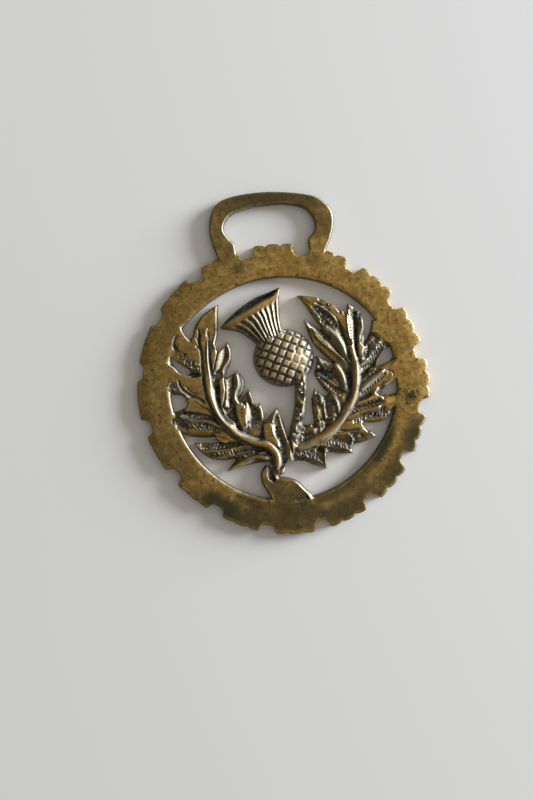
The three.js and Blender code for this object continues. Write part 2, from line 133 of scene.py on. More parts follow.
# Each leaf, as in the solid: foot, tip, bow of its spine as a share of its length, widths left and
# right of the spine, where along it the leaf is widest, and the foot's width as a share of that. Then
# the height of its crest, lower where the facets and ribs below carry the form, and its section.
LEFT_BRANCH = [
    ((-18.9, 5.5), (-15, 23.4), 0.09, 3.9, 2.3, 0.56, 0.45, 3.3, "face"),
    ((-19, 6.8), (-31, 18.8), 0.03, 3.2, 3.4, 0.55, 0.6, 3.2, "face"),
    ((-18.6, 0.6), (-34, 8), 0, 3.2, 2, 0.55, 0.7, 3.2, "face"),
    ((-17.5, -4), (-25.6, -0.4), 0, 2.2, 2.5, 0.5, 0.8, 3.2, "face"),
    ((-15, -7.8), (-31, -4.2), 0.07, 3.2, 2.7, 0.55, 0.7, 3.5, "ridge"),
    ((-11.5, -12), (-20, -9.3), 0, 1.6, 1.1, 0.4, 0.7, 3.3, "face"),
    ((-9.5, -13.4), (-24.5, -11.7), 0.15, 2.1, 2.3, 0.6, 0.5, 3.5, "ridge"),
    ((-6, -15.2), (-15, -15.6), 0.05, 2.2, 1.6, 0.5, 0.7, 3.1, "ridge"),
    ((-4.6, -17.2), (-16.5, -19.9), -0.13, 1.7, 1.4, 0.4, 0.7, 3.2, "ridge"),
    ((-18.3, 2.4), (-13.4, 13.5), -0.07, 2.5, 1.5, 0.62, 0.5, 2.4, "face"),
    ((-16.8, -5.2), (-11.6, 5.8), -0.08, 2.9, 2.2, 0.74, 0.3, 2.4, "face"),
    ((-12.6, -10.4), (-9, 0.9), -0.03, 2.3, 2.1, 0.5, 0.7, 2.4, "face"),
    ((-9.2, -11.8), (-6.5, -2.9), -0.04, 2, 1.6, 0.5, 0.7, 2.6, "ridge"),
    ((-1.8, -16.4), (-2.7, -5), 0.17, 2, 0.8, 0.5, 0.9, 3.4, "face"),
    ((-2.5, -21.4), (-2.3, -4.5), -0.08, 1.3, 0.8, 0.3, 0.6, 3, "face"),
]
RIGHT_BRANCH = [
    ((18.2, 7), (5.6, 23.9), -0.15, 3.9, 2.3, 0.55, 0.4, 3.2, "face"),
    ((17.9, 3.2), (6.8, 17.5), 0, 2.5, 1.6, 0.58, 0.35, 3.2, "ridge"),
    ((17.8, 6), (11, 16.3), -0.05, 1.6, 1.5, 0.5, 0.6, 3.4, "face"),
    ((16.8, -2), (8.9, 8), -0.04, 2.2, 1.5, 0.5, 0.6, 3.2, "ridge"),
    ((15.6, -4.6), (8.2, 3), -0.04, 1.6, 2.2, 0.5, 0.7, 3.1, "ridge"),
    ((11.8, -10.8), (12.2, -1.7), -0.02, 2.2, 2.4, 0.5, 0.6, 3.5, "ridge"),
    ((14.5, -8.5), (14.9, -3.2), 0, 1.2, 1.6, 0.5, 0.9, 2.6, "ridge"),
    ((8.4, -12.4), (7.9, -0.4), 0, 1.3, 1.9, 0.6, 0.8, 3.2, "ridge"),
    ((18.9, 6), (18.4, 20.6), -0.1, 1.7, 2.2, 0.72, 0.5, 2.4, "face"),
    ((19.2, 3), (28.4, 14.8), -0.03, 2.3, 2.2, 0.58, 0.6, 3.3, "ridge"),
    ((18.6, -2.6), (33, 5.4), 0, 2.5, 2.3, 0.5, 0.6, 3.2, "ridge"),
    ((16.2, -7.2), (31, -4.9), 0, 2.4, 2.6, 0.5, 0.6, 3.2, "ridge"),
    ((16.5, -8), (27.6, -7.9), -0.08, 1.6, 1.8, 0.65, 0.5, 3, "ridge"),
    ((13, -11), (20.7, -9.3), 0, 1.2, 1.3, 0.5, 0.7, 3.2, "face"),
    ((11, -12.8), (22.8, -14.1), 0.05, 2, 2.5, 0.55, 0.5, 3.2, "face"),
    ((6.6, -14.6), (16.4, -17.9), 0.09, 2.1, 2.2, 0.55, 0.5, 3.3, "ridge"),
    ((0.4, -16.6), (9.3, -21.4), 0.13, 2.2, 1.8, 0.58, 0.9, 3.2, "ridge"),
    ((6.6, -14.6), (6, -9.4), 0, 2.4, 2.2, 0.45, 0.9, 2.6, "ridge"),
    ((2.6, -16.2), (2.4, -7.6), 0, 2.3, 2.6, 0.4, 0.9, 2.8, "ridge"),
]
# Facets: outline, a place on it, the height there, how it rises to the right and upwards, and how
# softly it meets what is beside it. Flat ones are rubbed faces; the others are a lobe's slopes.
FLAT = (0, 0)
FACET_WAVE = (0.05, 2.2, 31)      # amount, size and seed
FACETS = [
    # lobes that run level into the ring, left
    ([(-15.4, 23.2), (-16, 19), (-16.5, 15.6), (-17.4, 12.6), (-17.9, 12), (-18.2, 15), (-18.4, 17.6),
      (-20.4, 17.4), (-20.8, 13), (-20.6, 8), (-22.4, 9.2), (-24.4, 11.4), (-26.2, 12.4), (-27, 14),
      (-29.4, 15), (-28.6, 19.6), (-25.4, 18.6), (-23.2, 14.4), (-21.6, 17.4), (-19.4, 20.6), (-17, 22.8)],
     (-20, 15), 2.92, FLAT, 0.5),
    ([(-20.4, 5.6), (-24, 5.2), (-26.6, 7.4), (-31, 10.6), (-32.4, 4.6), (-29.6, 3.6), (-27.4, 4.6),
      (-26.2, 2.2), (-23.4, 0.4), (-20.6, -1)], (-24, 4), 2.92, FLAT, 0.5),
    ([(-25.3, -1.6), (-23.6, -0.1), (-20.8, -2.6), (-18.4, -5), (-20.4, -5.4), (-23.6, -4.2),
      (-26.4, -3.4)], (-23, -3), 2.95, (-0.1, 0), 0.4),
    ([(-19.6, -9.6), (-17.6, -9.9), (-14.6, -12), (-16.5, -12.6), (-18.2, -12)], (-17, -11), 3.1, FLAT, 0.3),
    ([(-24.2, -12), (-22, -11.7), (-19, -12.4), (-20, -13.6), (-23, -13.8)], (-22, -12.6), 3, FLAT, 0.3),
    ([(-15.4, 23.4), (-15.9, 19.5), (-16.4, 16), (-17.4, 13.4), (-16.8, 11.8), (-15.6, 12), (-15.2, 14.5),
      (-14.7, 19), (-14.7, 23)], (-16.2, 17), 3.1, (-0.9, 0), 0.25),
    # the inner lobes: a rubbed ridge, then the slope to its right
    ([(-18.1, 12.2), (-17.3, 12.3), (-16.2, 11.6), (-17, 8.8), (-17.9, 6.2), (-18, 9)], (-17, 10), 3.3,
     FLAT, 0.25),
    ([(-17.6, 6), (-17, 8.6), (-16.3, 10.6), (-15.7, 12.1), (-14.7, 12.9), (-13.6, 12.6), (-13.3, 10.6),
      (-13.9, 8.9), (-15.3, 7.2)], (-16.8, 9), 3.5, (-0.5, 0.15), 0.2),
    ([(-16.5, 4.3), (-15.2, 4.5), (-15.2, 1), (-15.7, -1.6), (-16.6, -3.8), (-16.8, -1), (-16.6, 2)],
     (-16, 1), 3.3, FLAT, 0.35),
    ([(-15.9, -3.2), (-15.3, -0.5), (-15.1, 2), (-15, 4.3), (-13.2, 5.1), (-12.7, 4.4), (-13, 1.6),
      (-13.6, -1), (-14.4, -3.6)], (-15.2, 1), 3.4, (-0.5, 0), 0.45),
    ([(-13, -2.4), (-10.4, -3), (-10.3, -6), (-10.2, -9), (-11.6, -9.4), (-12.5, -7), (-13, -4.6)],
     (-11.6, -6), 3.6, (0.05, 0), 0.35),
    ([(-10.2, -2.2), (-10.5, -4.6), (-10.3, -7.6), (-9.8, -9.6), (-9, -8.6), (-8.8, -6.6), (-9, -4.4),
      (-9.6, -2.6)], (-10.3, -5), 3.65, (-0.6, 0.08), 0.5),
    # the front leaf: its body, its trough, its left face and the slope between them
    ([(-2.3, -4.6), (-3.2, -5.8), (-4.1, -6.8), (-5, -8.4), (-6.1, -8.8), (-6.2, -10.5), (-5, -12.6),
      (-3.8, -14.2), (-2.2, -16), (-1.6, -18.6), (-3, -21), (-0.9, -20.6), (0.4, -18.8), (0.8, -16),
      (0.4, -13), (-0.6, -10.8), (-1.3, -8.9), (-1.6, -6.8)], (-2.5, -10), 3.2, FLAT, 0.3),
    ([(-3.3, -6.2), (-2.4, -6), (-1.8, -9.4), (-1.1, -12), (-0.6, -15), (-0.6, -18), (-1.6, -20.3),
      (-3, -20.6), (-2, -18.6), (-1.5, -16.4), (-1.6, -14.6), (-2.8, -12), (-3.3, -9.6)],
     (-2, -12), 3.05, FLAT, 0.3),
    ([(-6.3, -8.4), (-4, -8), (-4, -10), (-4, -11.4), (-2.6, -13.8), (-2.2, -15.2), (-4.4, -13.4),
      (-6.3, -12.5)], (-5, -10), 3.75, (0.1, 0), 0.6),
    ([(-3.9, -7.2), (-4.1, -9.6), (-4, -11.2), (-3, -13.2), (-1.6, -15.6), (-1.2, -15), (-2.2, -12.6),
      (-3, -10.6), (-3.2, -8.4)], (-3.9, -10), 3.95, (-0.86, -0.27), 0.2),
    # the top lobe of the right branch, its bright upper edge and the fold beside it
    ([(6, 23.9), (9, 24.1), (12.2, 23.1), (14.4, 21.2), (15.8, 19), (16.4, 18.2), (17.6, 18.4),
      (17.6, 15), (17.8, 12), (17, 12), (16.4, 14.6), (15.3, 17.4), (13.8, 19), (11, 21.4), (8.8, 21.8)],
     (12, 22), 3.3, FLAT, 0.3),
    ([(13.4, 22.5), (14.4, 22.1), (15.7, 20.2), (16.4, 18.7), (15.7, 18.5), (14.6, 20.3)], (14.5, 21), 3.3,
     (-0.7, -0.5), 0.2),
    ([(17.7, 19.3), (18.6, 18.9), (19.4, 16.2), (19.4, 12.4), (19.1, 9.2), (18.5, 9), (17.9, 12.5),
      (17.7, 16)], (17.9, 14), 3.9, (-0.65, 0), 0.2),
    ([(19.8, 10), (20.6, 10.7), (21.7, 9.2), (20.6, 6.6), (20.1, 5.9), (19.9, 8)], (20.4, 8), 3.5, FLAT, 0.3),
    ([(22.8, 9.8), (21.8, 9.2), (20.8, 7.4), (20.2, 5.4), (20.8, 5.1), (22.2, 6.6), (23, 8)], (21, 7.4), 3.6,
     (-0.55, -0.1), 0.25),
    # lobes that run level into the ring, right
    ([(24.4, 16.4), (24, 14.4), (23.6, 12.4), (25.2, 12.4), (26.6, 11), (27.6, 9.4), (29.8, 9.6),
      (29.4, 13), (27.2, 16.4)], (26, 13), 2.92, FLAT, 0.5),
    ([(21.6, 1.9), (22.6, 3.6), (24.6, 3.6), (28, 3.6), (30.2, 6), (29.9, 9.8), (31.8, 10), (32.6, 3),
      (32.6, -1.8), (29.4, -1), (27.4, -1.6), (25.4, -1.4), (26.2, 0.4), (27.4, 1.4), (26.8, 3),
      (24.2, 2.4), (22.8, 1.2)], (27, 2), 2.92, FLAT, 0.5),
    ([(17.8, -5.9), (19, -4.9), (21.4, -4.2), (23.2, -3), (24.2, -3.6), (23.6, -4.5), (21, -5.3),
      (19, -6)], (21, -4.6), 3.1, FLAT, 0.3),
    ([(13.2, -11.1), (16, -9.9), (19.2, -9.3), (18.9, -10.6), (19.6, -11.8), (21, -12.8), (22.4, -13.6),
      (21.8, -14.7), (20.2, -14.9), (19.4, -13), (17.6, -12.2), (15, -11.9)], (18, -11), 3.1, FLAT, 0.3),
    ([(19.3, -9.2), (20, -9.6), (19.7, -10.6), (20.3, -11.6), (21.5, -12.4), (20.8, -13), (19.5, -11.8),
      (18.9, -10.6)], (19.2, -10.5), 3.1, (-0.9, -0.3), 0.2),
    # the root: its hook and mound run level into the ring
    ([(-7.9, -21.5), (-7.3, -20.2), (-6.4, -19.8), (-6.2, -21.2), (-5.8, -22.8), (-4.8, -23.6), (-3.4, -23.6),
      (-1, -23.4), (1, -24.6), (2.4, -26.2), (3.8, -28.4), (5.5, -31), (-6.5, -31), (-6.4, -26.8),
      (-7.7, -24)], (-2, -26), 3.1, (0, 0.03), 0.5),
    ([(-6.4, -19.4), (-6.3, -21.4), (-5.9, -22.8), (-4.8, -23.5), (-4.4, -22.8), (-5, -21.4), (-5.2, -19.4)],
     (-6.3, -21), 3.2, (-0.9, 0.2), 0.25),
]
# Ribs: points, half the width of the rubbed top and its height, or two heights between which it
# climbs over its first half. Both sides are steep, unless a row goes on with a gentler right side:
# how steep it is and how far it reaches.
STEEP = (2.2, 0.6)
FOLD = 0.62
RIB_CROWN = 0.16          # how far a rib's top curves down to its sides
RIB_SINK = 0.6            # how far a rib's ends sink
RIBS = [
    # left branch: the stem, then each lobe from the top down
    ([(-19.6, 18), (-19.6, 12), (-19.5, 6), (-19.1, -0.5), (-16.9, -6), (-12.8, -10.8), (-8.9, -12.8),
      (-5.6, -13.8), (-3.7, -15.8), (-3.2, -18.2), (-3.8, -20.4)], 0.6, (2.9, 4.5), 0.9, 0.4),
    ([(-14.2, 13.2), (-13.3, 12.2), (-13.1, 10.4), (-13.7, 8.7), (-14.9, 7.3), (-15.4, 6.2), (-15.3, 5)],
     0.28, 3.3, 0.9, 0.5),
    ([(-12.1, 5.4), (-11.8, 3.8), (-11.8, 2.2), (-12.6, 0.6), (-12.9, -1.2), (-11.9, -2.7), (-10.6, -3.3)],
     0.34, 3.7, 0.9, 0.7),
    ([(-9.2, 0.6), (-8.4, -1.4), (-7.6, -3.1), (-6.7, -3.9), (-6.3, -5.2), (-6.4, -7.4)], 0.3, 3.8, 0.9, 0.6),
    ([(-26, 0.9), (-24.2, -0.4), (-22, -1.6), (-20.4, -3.2)], 0.25, 3.1),
    ([(-28, -4.4), (-24.4, -5.9), (-20.4, -6.6), (-17, -8.4)], 0.28, 3.6),
    ([(-19.4, -9.7), (-16.8, -10.6), (-14.4, -12)], 0.32, 3.4),
    ([(-23.6, -12), (-24, -12.8), (-23.2, -14.1), (-19.4, -14.3), (-14.4, -14.2)], 0.25, 3.4),
    ([(-14.3, -15.6), (-12.4, -15.4), (-9, -15.2)], 0.3, 3.2),
    ([(-16.2, -19.6), (-13.8, -18.6), (-10.8, -17.3), (-8.6, -16.7), (-5.4, -17.5)], 0.5, 3.6),
    # front leaf
    ([(-2.5, -4.9), (-3.1, -6.2), (-3.6, -7.6), (-3.9, -9)], 0.2, 3.9, 0.9, 0.5),
    ([(-2.2, -4.9), (-1.9, -7), (-1.5, -9.2), (-0.9, -11.4), (-0.3, -13.4), (0.1, -15.4), (0.1, -17.4),
      (-0.2, -19), (-1, -20.4), (-2.4, -21.2), (-3.8, -21.4)], 0.2, (3.4, 4.3), 0.8, 0.9),
    # the bright edge of the thistle's stem
    ([(5.5, 1.6), (5.2, -1.2), (4.7, -3.8), (4, -6.2), (3.7, -8.4)], 0.25, 4.6, 0.9, 0.8),
    # right branch: the stem, then each lobe
    ([(18.2, 9), (19, 6), (19, 2), (18.5, -1.4), (17.2, -4.6), (15.6, -7.2), (13.4, -9.9),
      (10.6, -12.1), (7.6, -13.7), (4.6, -14.8), (1.4, -15.6)], 0.5, 4.3, 1.1, 0.65),
    ([(6.4, -15.4), (9, -14.2), (11.2, -12.8), (13.4, -10.9)], 0.2, 3.6),
    ([(8.4, 21), (9.8, 19), (11, 17)], 0.28, 3.3),
    ([(9, 21.6), (12, 20), (14.4, 17.6), (15.8, 14.8)], 0.25, 3.4),
    ([(21.4, 16.8), (21.6, 15.5), (21.4, 13.9), (20.7, 12.2), (20.4, 10.9)], 0.3, 3.5, 0.9, 0.5),
    ([(11.5, 15.4), (12.6, 14.6), (14.6, 12.4), (16, 9.8), (16.8, 6.8)], 0.42, 3.9, FOLD, 0.9),
    ([(6.9, 17.1), (7.6, 15.8), (8.4, 14.8)], 0.3, 3.4),
    ([(8.9, 13.9), (11.2, 11), (14, 8.4), (16.4, 5.8)], 0.2, 3.4),
    ([(13.4, 5.4), (14.3, 4.4), (15.3, 2.4), (15.7, 0), (15.8, -1.8)], 0.42, 3.9, 0.8, 0.7),
    ([(9.4, 7.6), (9.9, 6.6), (10.5, 5.6)], 0.3, 3.6),
    ([(8.4, 5.6), (9.6, 4.8)], 0.3, 3.5),
    ([(8.6, 3.4), (11.2, 1.6), (13.8, -0.6)], 0.2, 3.2),
    ([(12.4, -2.6), (13.2, -4.4), (13.5, -6), (13.4, -7.4)], 0.35, 4, 0.9, 0.6),
    ([(10, -8.6), (11.6, -8.2), (13.4, -8)], 0.25, 3.4),
    ([(10, -3.6), (9.9, -6), (10.2, -9)], 0.25, 3.4),
    ([(8.7, -1.2), (9.3, -3), (9, -4.8)], 0.35, 3.7),
    ([(5.6, -11.2), (6.6, -11.2), (7.6, -10.9)], 0.6, 3.4, 0.7, 1),
    ([(26.9, 8.9), (26.3, 7), (25, 5.2), (24.4, 3.7)], 0.22, 3),
    ([(19.3, -2.2), (21.2, -0.6), (23, 0.9), (24.8, 1.9), (26.3, 2.7)], 0.25, 3.7, 0.9, 0.7),
    ([(19.7, 4.2), (21, 5.2), (22.4, 6)], 0.2, 3.6),
    ([(24.4, -1.8), (23.3, -2.8), (24, -3.9), (25.1, -4.5), (25, -5.6)], 0.22, 3.1, 0.9, 0.6),
    ([(15.2, -9.2), (17, -8.6), (19.5, -7.6), (22, -7.2), (24.6, -6.4)], 0.28, 3.6, 0.9, 0.7),
    ([(21.4, -12.7), (22.3, -13.3), (22.4, -14.3)], 0.25, 3.2),
    ([(11.6, -12.9), (13.6, -13), (15.6, -13.2), (16.4, -14.2), (16.3, -15.2)], 0.2, 3.4),
    ([(16.2, -15.5), (16.1, -17.4)], 0.3, 3.5),
    ([(9.2, -16.2), (9.2, -18.5), (9.1, -20.8)], 0.3, 3.6),
]
# Cut lines: points, half-width and depth.
GROOVE_SHARE = 0.75       # of the depth, after the casting's softness
GROOVES = [
    ([(-20.5, 16.6), (-20.8, 14), (-20.5, 11), (-20.6, 7), (-20.5, 3), (-20, -0.8), (-18, -5.6),
      (-13.9, -10.8), (-9.4, -13.9), (-5.6, -15.9), (-4.7, -18)], 0.28, 0.8),
    ([(-18.4, 16.8), (-18.3, 13), (-18.5, 9.5), (-18.3, 6), (-18.1, 4.6)], 0.26, 0.9),
    ([(-21.6, 15.4), (-20.7, 14.2)], 0.16, 0.5), ([(-21.7, 13.6), (-21.2, 12.8), (-20.5, 13)], 0.16, 0.5),
    ([(-20.9, 17.6), (-20.2, 15.4)], 0.14, 0.4), ([(-17.2, 16.8), (-16.6, 17.2)], 0.14, 0.3),
    ([(-26.3, 16.6), (-27.2, 15.2), (-27.4, 13.5), (-26.9, 12.2)], 0.22, 0.5),
    ([(-27.1, 4.8), (-26.4, 2.6), (-24.4, 0.8), (-22, -0.6), (-20.6, -1.8)], 0.3, 0.8),
    ([(-25.4, 3.2), (-24.2, 1.6), (-22.6, 0.6)], 0.18, 0.4),
    ([(-25.6, -3.6), (-22.6, -4.4), (-19.4, -5.6), (-17.4, -7.6)], 0.3, 0.8),
    ([(-13.4, -2.8), (-13.4, -6), (-12.7, -8.6), (-11.6, -10.2)], 0.3, 0.9),
    ([(-17.3, 4.8), (-17.3, 1.6), (-17.4, -1), (-16.6, -4.6), (-14.8, -7.4)], 0.42, 1.2),
    ([(-12.9, 4.8), (-13.1, 1.4), (-13.9, -1.6), (-14.3, -4)], 0.24, 0.6),
    ([(-17.4, 12.4), (-17.9, 11.4)], 0.2, 0.5),
    ([(-12, -4.2), (-11.1, -4.2)], 0.16, 0.35), ([(-12, -5.1), (-11.1, -5.1)], 0.16, 0.35),
    ([(-11.9, -6), (-11.1, -6)], 0.16, 0.35), ([(-11.8, -6.9), (-11.1, -6.8)], 0.14, 0.3),
    ([(-11.6, -8.2), (-10.6, -8.2)], 0.2, 0.4),
    ([(15.2, 16.6), (16.3, 13.4), (17.1, 10.2), (17.8, 6)], 0.3, 0.8),
    ([(19.95, 19.2), (20, 15), (19.8, 11), (19.6, 6.4)], 0.34, 1.2),
    ([(17.2, 4.8), (17.4, 1.4), (17, -2.2), (15.6, -5)], 0.45, 1.1),
    ([(20, 3.6), (21.8, 4.4), (23.4, 4.6)], 0.3, 0.6),
    ([(19.8, 1.8), (21.4, 2.4), (23.8, 3)], 0.25, 0.5),
    ([(26.8, 2.6), (28.2, 2.2), (28.6, 0.8)], 0.16, 0.3), ([(25.6, -0.6), (27.2, -0.2)], 0.18, 0.3),
    ([(17.6, -6.4), (20, -5.9), (23, -5.4), (25.4, -5.2)], 0.25, 0.7),
    ([(13.2, -11.9), (15.8, -12.2), (18.6, -11.9)], 0.25, 0.7),
    ([(-0.2, -28.85), (3.6, -28.7)], 0.35, 0.35),
]
# Feathered stretches: spine, reach to its left and right, pitch, depth and slant of the barbs.
BARB_STRAY = (0.55, 1.5, 5)       # along the spine, in pitches: amount, size and seed
BARB_CHANGE = (0.45, 1.1, 6)      # of the barbs' depth, likewise
BARB_BED = 0.3            # share of the depth by which the whole stretch lies lower
BARB_CUT = 0.8            # and by which the barbs cut into it
BROAD_BARBS = 0.4         # barbs deeper than this are broad
FEATHERS = [
    ([(-15.7, 6.8), (-15.2, 9.4), (-14.7, 12.6)], 0.1, 1.4, 0.7, 0.3, -0.5),
    ([(-15.1, -2.6), (-14.8, 1.2), (-14.4, 4.4)], 0.1, 1.5, 1.2, 0.25, -0.6),
    ([(-16.6, -8.3), (-20.4, -6.9), (-24.4, -6.2), (-28, -4.8)], 2.2, 1.6, 0.85, 0.5, 0.6),
    ([(-11, -13.4), (-16, -14), (-20, -14.2), (-23.4, -13.4)], 1.8, 1.6, 0.85, 0.5, 0.6),
    ([(-6, -15.6), (-10, -16.2), (-14.8, -16.2)], 1.6, 1.6, 0.85, 0.5, 0.5),
    ([(17, 9), (14.4, 14.4), (11.4, 18.6), (9.4, 20.6)], 1.6, 2.2, 0.84, 0.55, 0.6),
    ([(12.4, 18.4), (11.6, 21), (10.4, 22.4)], 0.9, 1.6, 0.8, 0.35, 0.6),
    ([(17.2, 5), (13.4, 9.4), (9.6, 13.8), (7, 17)], 1.6, 1.6, 0.72, 0.45, 0.6),
    ([(15.4, -1.6), (12.4, 2.2), (9, 7.4)], 2.2, 2, 0.84, 0.55, 0.6),
    ([(14.6, -3.6), (11.4, -0.6), (8.6, 3)], 1.6, 1.8, 0.88, 0.55, 0.6),
    ([(18.8, 9.6), (18.8, 14), (18.4, 18.6)], 0.7, 0.6, 0.8, 0.3, 0.1),
    ([(20.6, 11.6), (20.9, 15), (20.6, 18.6)], 1, 1, 0.8, 0.4, 0.4),
    ([(19.6, 3.6), (22.4, 6.2), (26.6, 11)], 2, 2.4, 0.84, 0.55, 0.6),
    ([(19.2, -2.5), (22.4, -0.6), (26.4, 2.8)], 1.9, 1.2, 0.88, 0.55, 0.6),
    ([(16.2, -8.6), (20, -7.3), (26, -6.2)], 2, 2.4, 0.84, 0.55, 0.6),
    ([(11.2, -12.9), (14, -13.6), (18, -13.9)], 1.2, 1.6, 0.75, 0.45, 0.6),
    ([(6.6, -14.8), (11, -16), (16, -17.2)], 1.8, 1.8, 0.84, 0.55, 0.5),
    ([(0.8, -16.8), (5, -18.2), (9, -20.4)], 2, 1.8, 0.84, 0.55, 0.5),
]
# Thickets of small knobs: middle, radii and depth.
COARSE_KNOBS = (0.6, 0.45, 8)     # amount, size and seed
FINE_KNOBS = (0.4, 0.3, 9)
THICKET_RISE = 0.9        # height of the knobs, as a share of the depth
THICKET_BED = 0.3         # share of the depth by which the whole thicket lies lower
THICKETS = [
    ((-9.7, -8.4), (1, 1.3), 0.35), ((-25.4, -5.2), (2.6, 1), 0.45), ((-21.4, -7.4), (2.6, 1), 0.45),
    ((-18.8, -15), (2.6, 0.9), 0.45), ((-12.4, -16.2), (2.4, 0.8), 0.4), ((-15, -13.3), (2.2, 0.7), 0.4),
    ((-28.6, -5.6), (1.4, 1.2), 0.4), ((17, -13.6), (2.6, 0.9), 0.4), ((12.4, -15.8), (2.6, 0.8), 0.4),
    ((23.2, -8.4), (2.8, 0.9), 0.4), ((24.4, 7.6), (1.8, 1.6), 0.4), ((22.2, 2.2), (1.4, 0.7), 0.35),
    ((11.2, 22.1), (1.5, 0.6), 0.4), ((13.3, 20.9), (1.1, 0.6), 0.4), ((10.2, 20.1), (1.5, 1.1), 0.5),
    ((12.2, 18.2), (1.9, 1.4), 0.5), ((14.3, 15.9), (1.2, 1.9), 0.5), ((13, 16.2), (1.4, 0.8), 0.5),
    ((12.6, 12.6), (1.9, 1.2), 0.3), ((22, 7.4), (1, 1.6), 0.35), ((11.8, 2.8), (2, 2), 0.5),
    ((3.4, -12.6), (3.2, 3), 0.5), ((7.6, -9), (2.2, 2.6), 0.45), ((8, -3.4), (1.8, 2.8), 0.45),
    ((11.8, -6), (2.2, 3.8), 0.3), ((4.4, -17.4), (4.4, 1.9), 0.4), ((-8, -6.6), (1.4, 3.4), 0.45),
    ((-2.5, -9.6), (1, 4.2), 0.5), ((-1.4, -14.2), (1, 3.2), 0.5), ((-1.2, -17.8), (1, 2.8), 0.45),
    ((-25.2, 10.7), (1.3, 1.1), 0.6), ((-23.8, 9.2), (1.4, 1.3), 0.6), ((-22.2, 7.5), (1.4, 1.2), 0.6),
    ((-9.6, -14.9), (3.6, 1.2), 0.35), ((24, 10.4), (2.2, 2.6), 0.4), ((20.2, 17.6), (1.6, 2.2), 0.45),
    ((-26.6, -7.2), (2.4, 1.2), 0.3), ((11.4, 18.8), (1.8, 1.6), 0.35), ((26.6, -8.4), (2, 1.2), 0.35),
    ((-28.4, 3), (1.6, 1.8), 0.4), ((10.6, 3.2), (2.4, 2.6), 0.3), ((4.2, -0.4), (1.1, 3), 0.45),
    ((3.1, -6.4), (1.3, 3.6), 0.5), ((-19.2, -12.9), (3.2, 1), 0.25), ((22.6, -8.6), (4, 1), 0.3),
]

# ---- Webs ---------------------------------------------------------------------------------------
WEB_TOP = 1.45
WEB_WAVE = (0.12, 0.7, 3)         # amount, size and seed
WEBS = [
    [(-2.3, -4.5), (-3.2, -5.7), (-4.3, -7.4), (-1.6, -9), (-1.8, -6.8)],
    [(-17.6, 17), (-16.4, 11.9), (-14.9, 4.9), (-12.4, -0.6), (-11.8, -2.3), (-10.6, -2.9), (-9.7, -2.1),
     (-6.6, -3.6), (-6, -8.1), (-4.4, -7.4), (-2.2, -8), (0, -13.5), (0, -18), (-3, -21), (-5.6, -18.2),
     (-9, -17.8), (-14.2, -17.7), (-14.4, -15.9), (-18, -12.1), (-18.9, -11), (-19.2, -9.6), (-23.8, -9.1),
     (-28.2, -6.8), (-29.5, -3.6), (-27.2, -2.9), (-25.8, -2.4), (-25.1, -1.2), (-25.4, 0), (-26.6, 0.9),
     (-30.6, 1.5), (-30.6, 10.4), (-28.9, 10.1), (-26.8, 7), (-24.8, 5.4), (-23.6, 6.8), (-25.5, 9.4),
     (-28.2, 12.4), (-31, 13), (-29, 18.5), (-25.1, 18), (-24.2, 16.1), (-23.2, 14.4), (-21.8, 17)],
    [(16.4, 18.5), (10.6, 14.5), (11.2, 10.2), (14.6, 6.2), (12.8, 5.8), (9.4, 7.2), (8.2, 3.4),
     (10.4, 0.3), (11.6, -1), (11.4, -2.2), (9.9, -2.8), (8.4, -1.2), (6.8, -3), (7.4, -8.3), (6.9, -9.6),
     (5.4, -9.8), (3, -9), (0, -14), (0, -18.6), (4.5, -19), (9.2, -19), (9.4, -17.4), (12, -17.2),
     (16.2, -15.8), (20.4, -15.2), (20, -11.8), (19.4, -10.7), (20.6, -9.9), (24.6, -10), (27.2, -7.8),
     (29.6, -5), (29.6, -3.2), (26.9, -3.9), (25.4, -4.5), (24.5, -3.6), (26, -1.8), (28.4, -0.2),
     (30.4, 0.6), (30.4, 7), (28.7, 5.6), (27.5, 4.5), (26, 3.9), (24.2, 3.6), (25, 5.2), (26.2, 7.4),
     (27.2, 8.4), (29.6, 9), (28, 15), (24.4, 15.9), (23.8, 13.6), (22.6, 11), (21.4, 10), (20.4, 11.6),
     (20.8, 17)],
]

# ---- Stems --------------------------------------------------------------------------------------
STEM_EDGE = 2.4
KNOB_SIZE = 0.8
KNOB_HEIGHT = 1.5
KNOB_SINK = 0.3           # how far the metal between the knobs lies lower
# The spine's points, half-widths at both ends, the ridge's height and how knobbly it is.
STEMS = [
    ([(-17.5, 18.5), (-18.8, 12), (-19, 6), (-18.4, -0.5), (-15.7, -6.4), (-11.6, -11), (-7, -13.6),
      (-3.9, -15.8), (-3.1, -18.4), (-4.4, -22)], 0.5, 1.1, 3.6, 0),
    ([(16.7, 18.5), (18.2, 12), (19, 6), (19, 0.5), (17.3, -4.4), (13.8, -9.4), (9.4, -12.8),
      (4.8, -14.9), (0, -16.2)], 0.6, 0.8, 3.6, 0),
    ([(4.8, 3), (4.3, -0.5), (3.9, -4), (3.1, -7.5), (2, -11), (1, -15)], 1.5, 1.5, 4.6, 0.3),
]

# ---- Thistle ------------------------------------------------------------------------------------
BULB_AT = (0.6, 8.2, 0.9)
BULB_RADII = (7.85, 7.5, 4.7)
STUD_SIZE = 1.48
STUD_PITCH = 2.05
STUD_RISE = 0.42
STUD_ROWS = -26           # degrees
STUD_COLUMNS = 63
STUD_SHIFT = (-0.4, 0.5)  # of the grid against the head's middle, in pitches
STUD_WANDER = 0.06        # how far the rows stray, in pitches
STUD_FLAT = 0.55          # how much flatter a stud is than the head's round
STUD_GAP = 0.15           # depth of the gaps under the plain round
STUD_WORN = (4.3, 7.4, 2.8)       # rubbed smooth here: place and radius
GAP_LEFT = 0.25           # share of the gaps' depth that is left there
HEAD_PAINTED_SHADE = 0.75         # painted shade: how dark the head's lower left is, the side away from the light
FLUTES = 9
CROWN_NECK = 4.1
CROWN_LIP_TOP = 5.3
FLUTE_DEPTH = 0.75
LIP_BAND = 0.76           # where the flutes end and the smooth lip starts
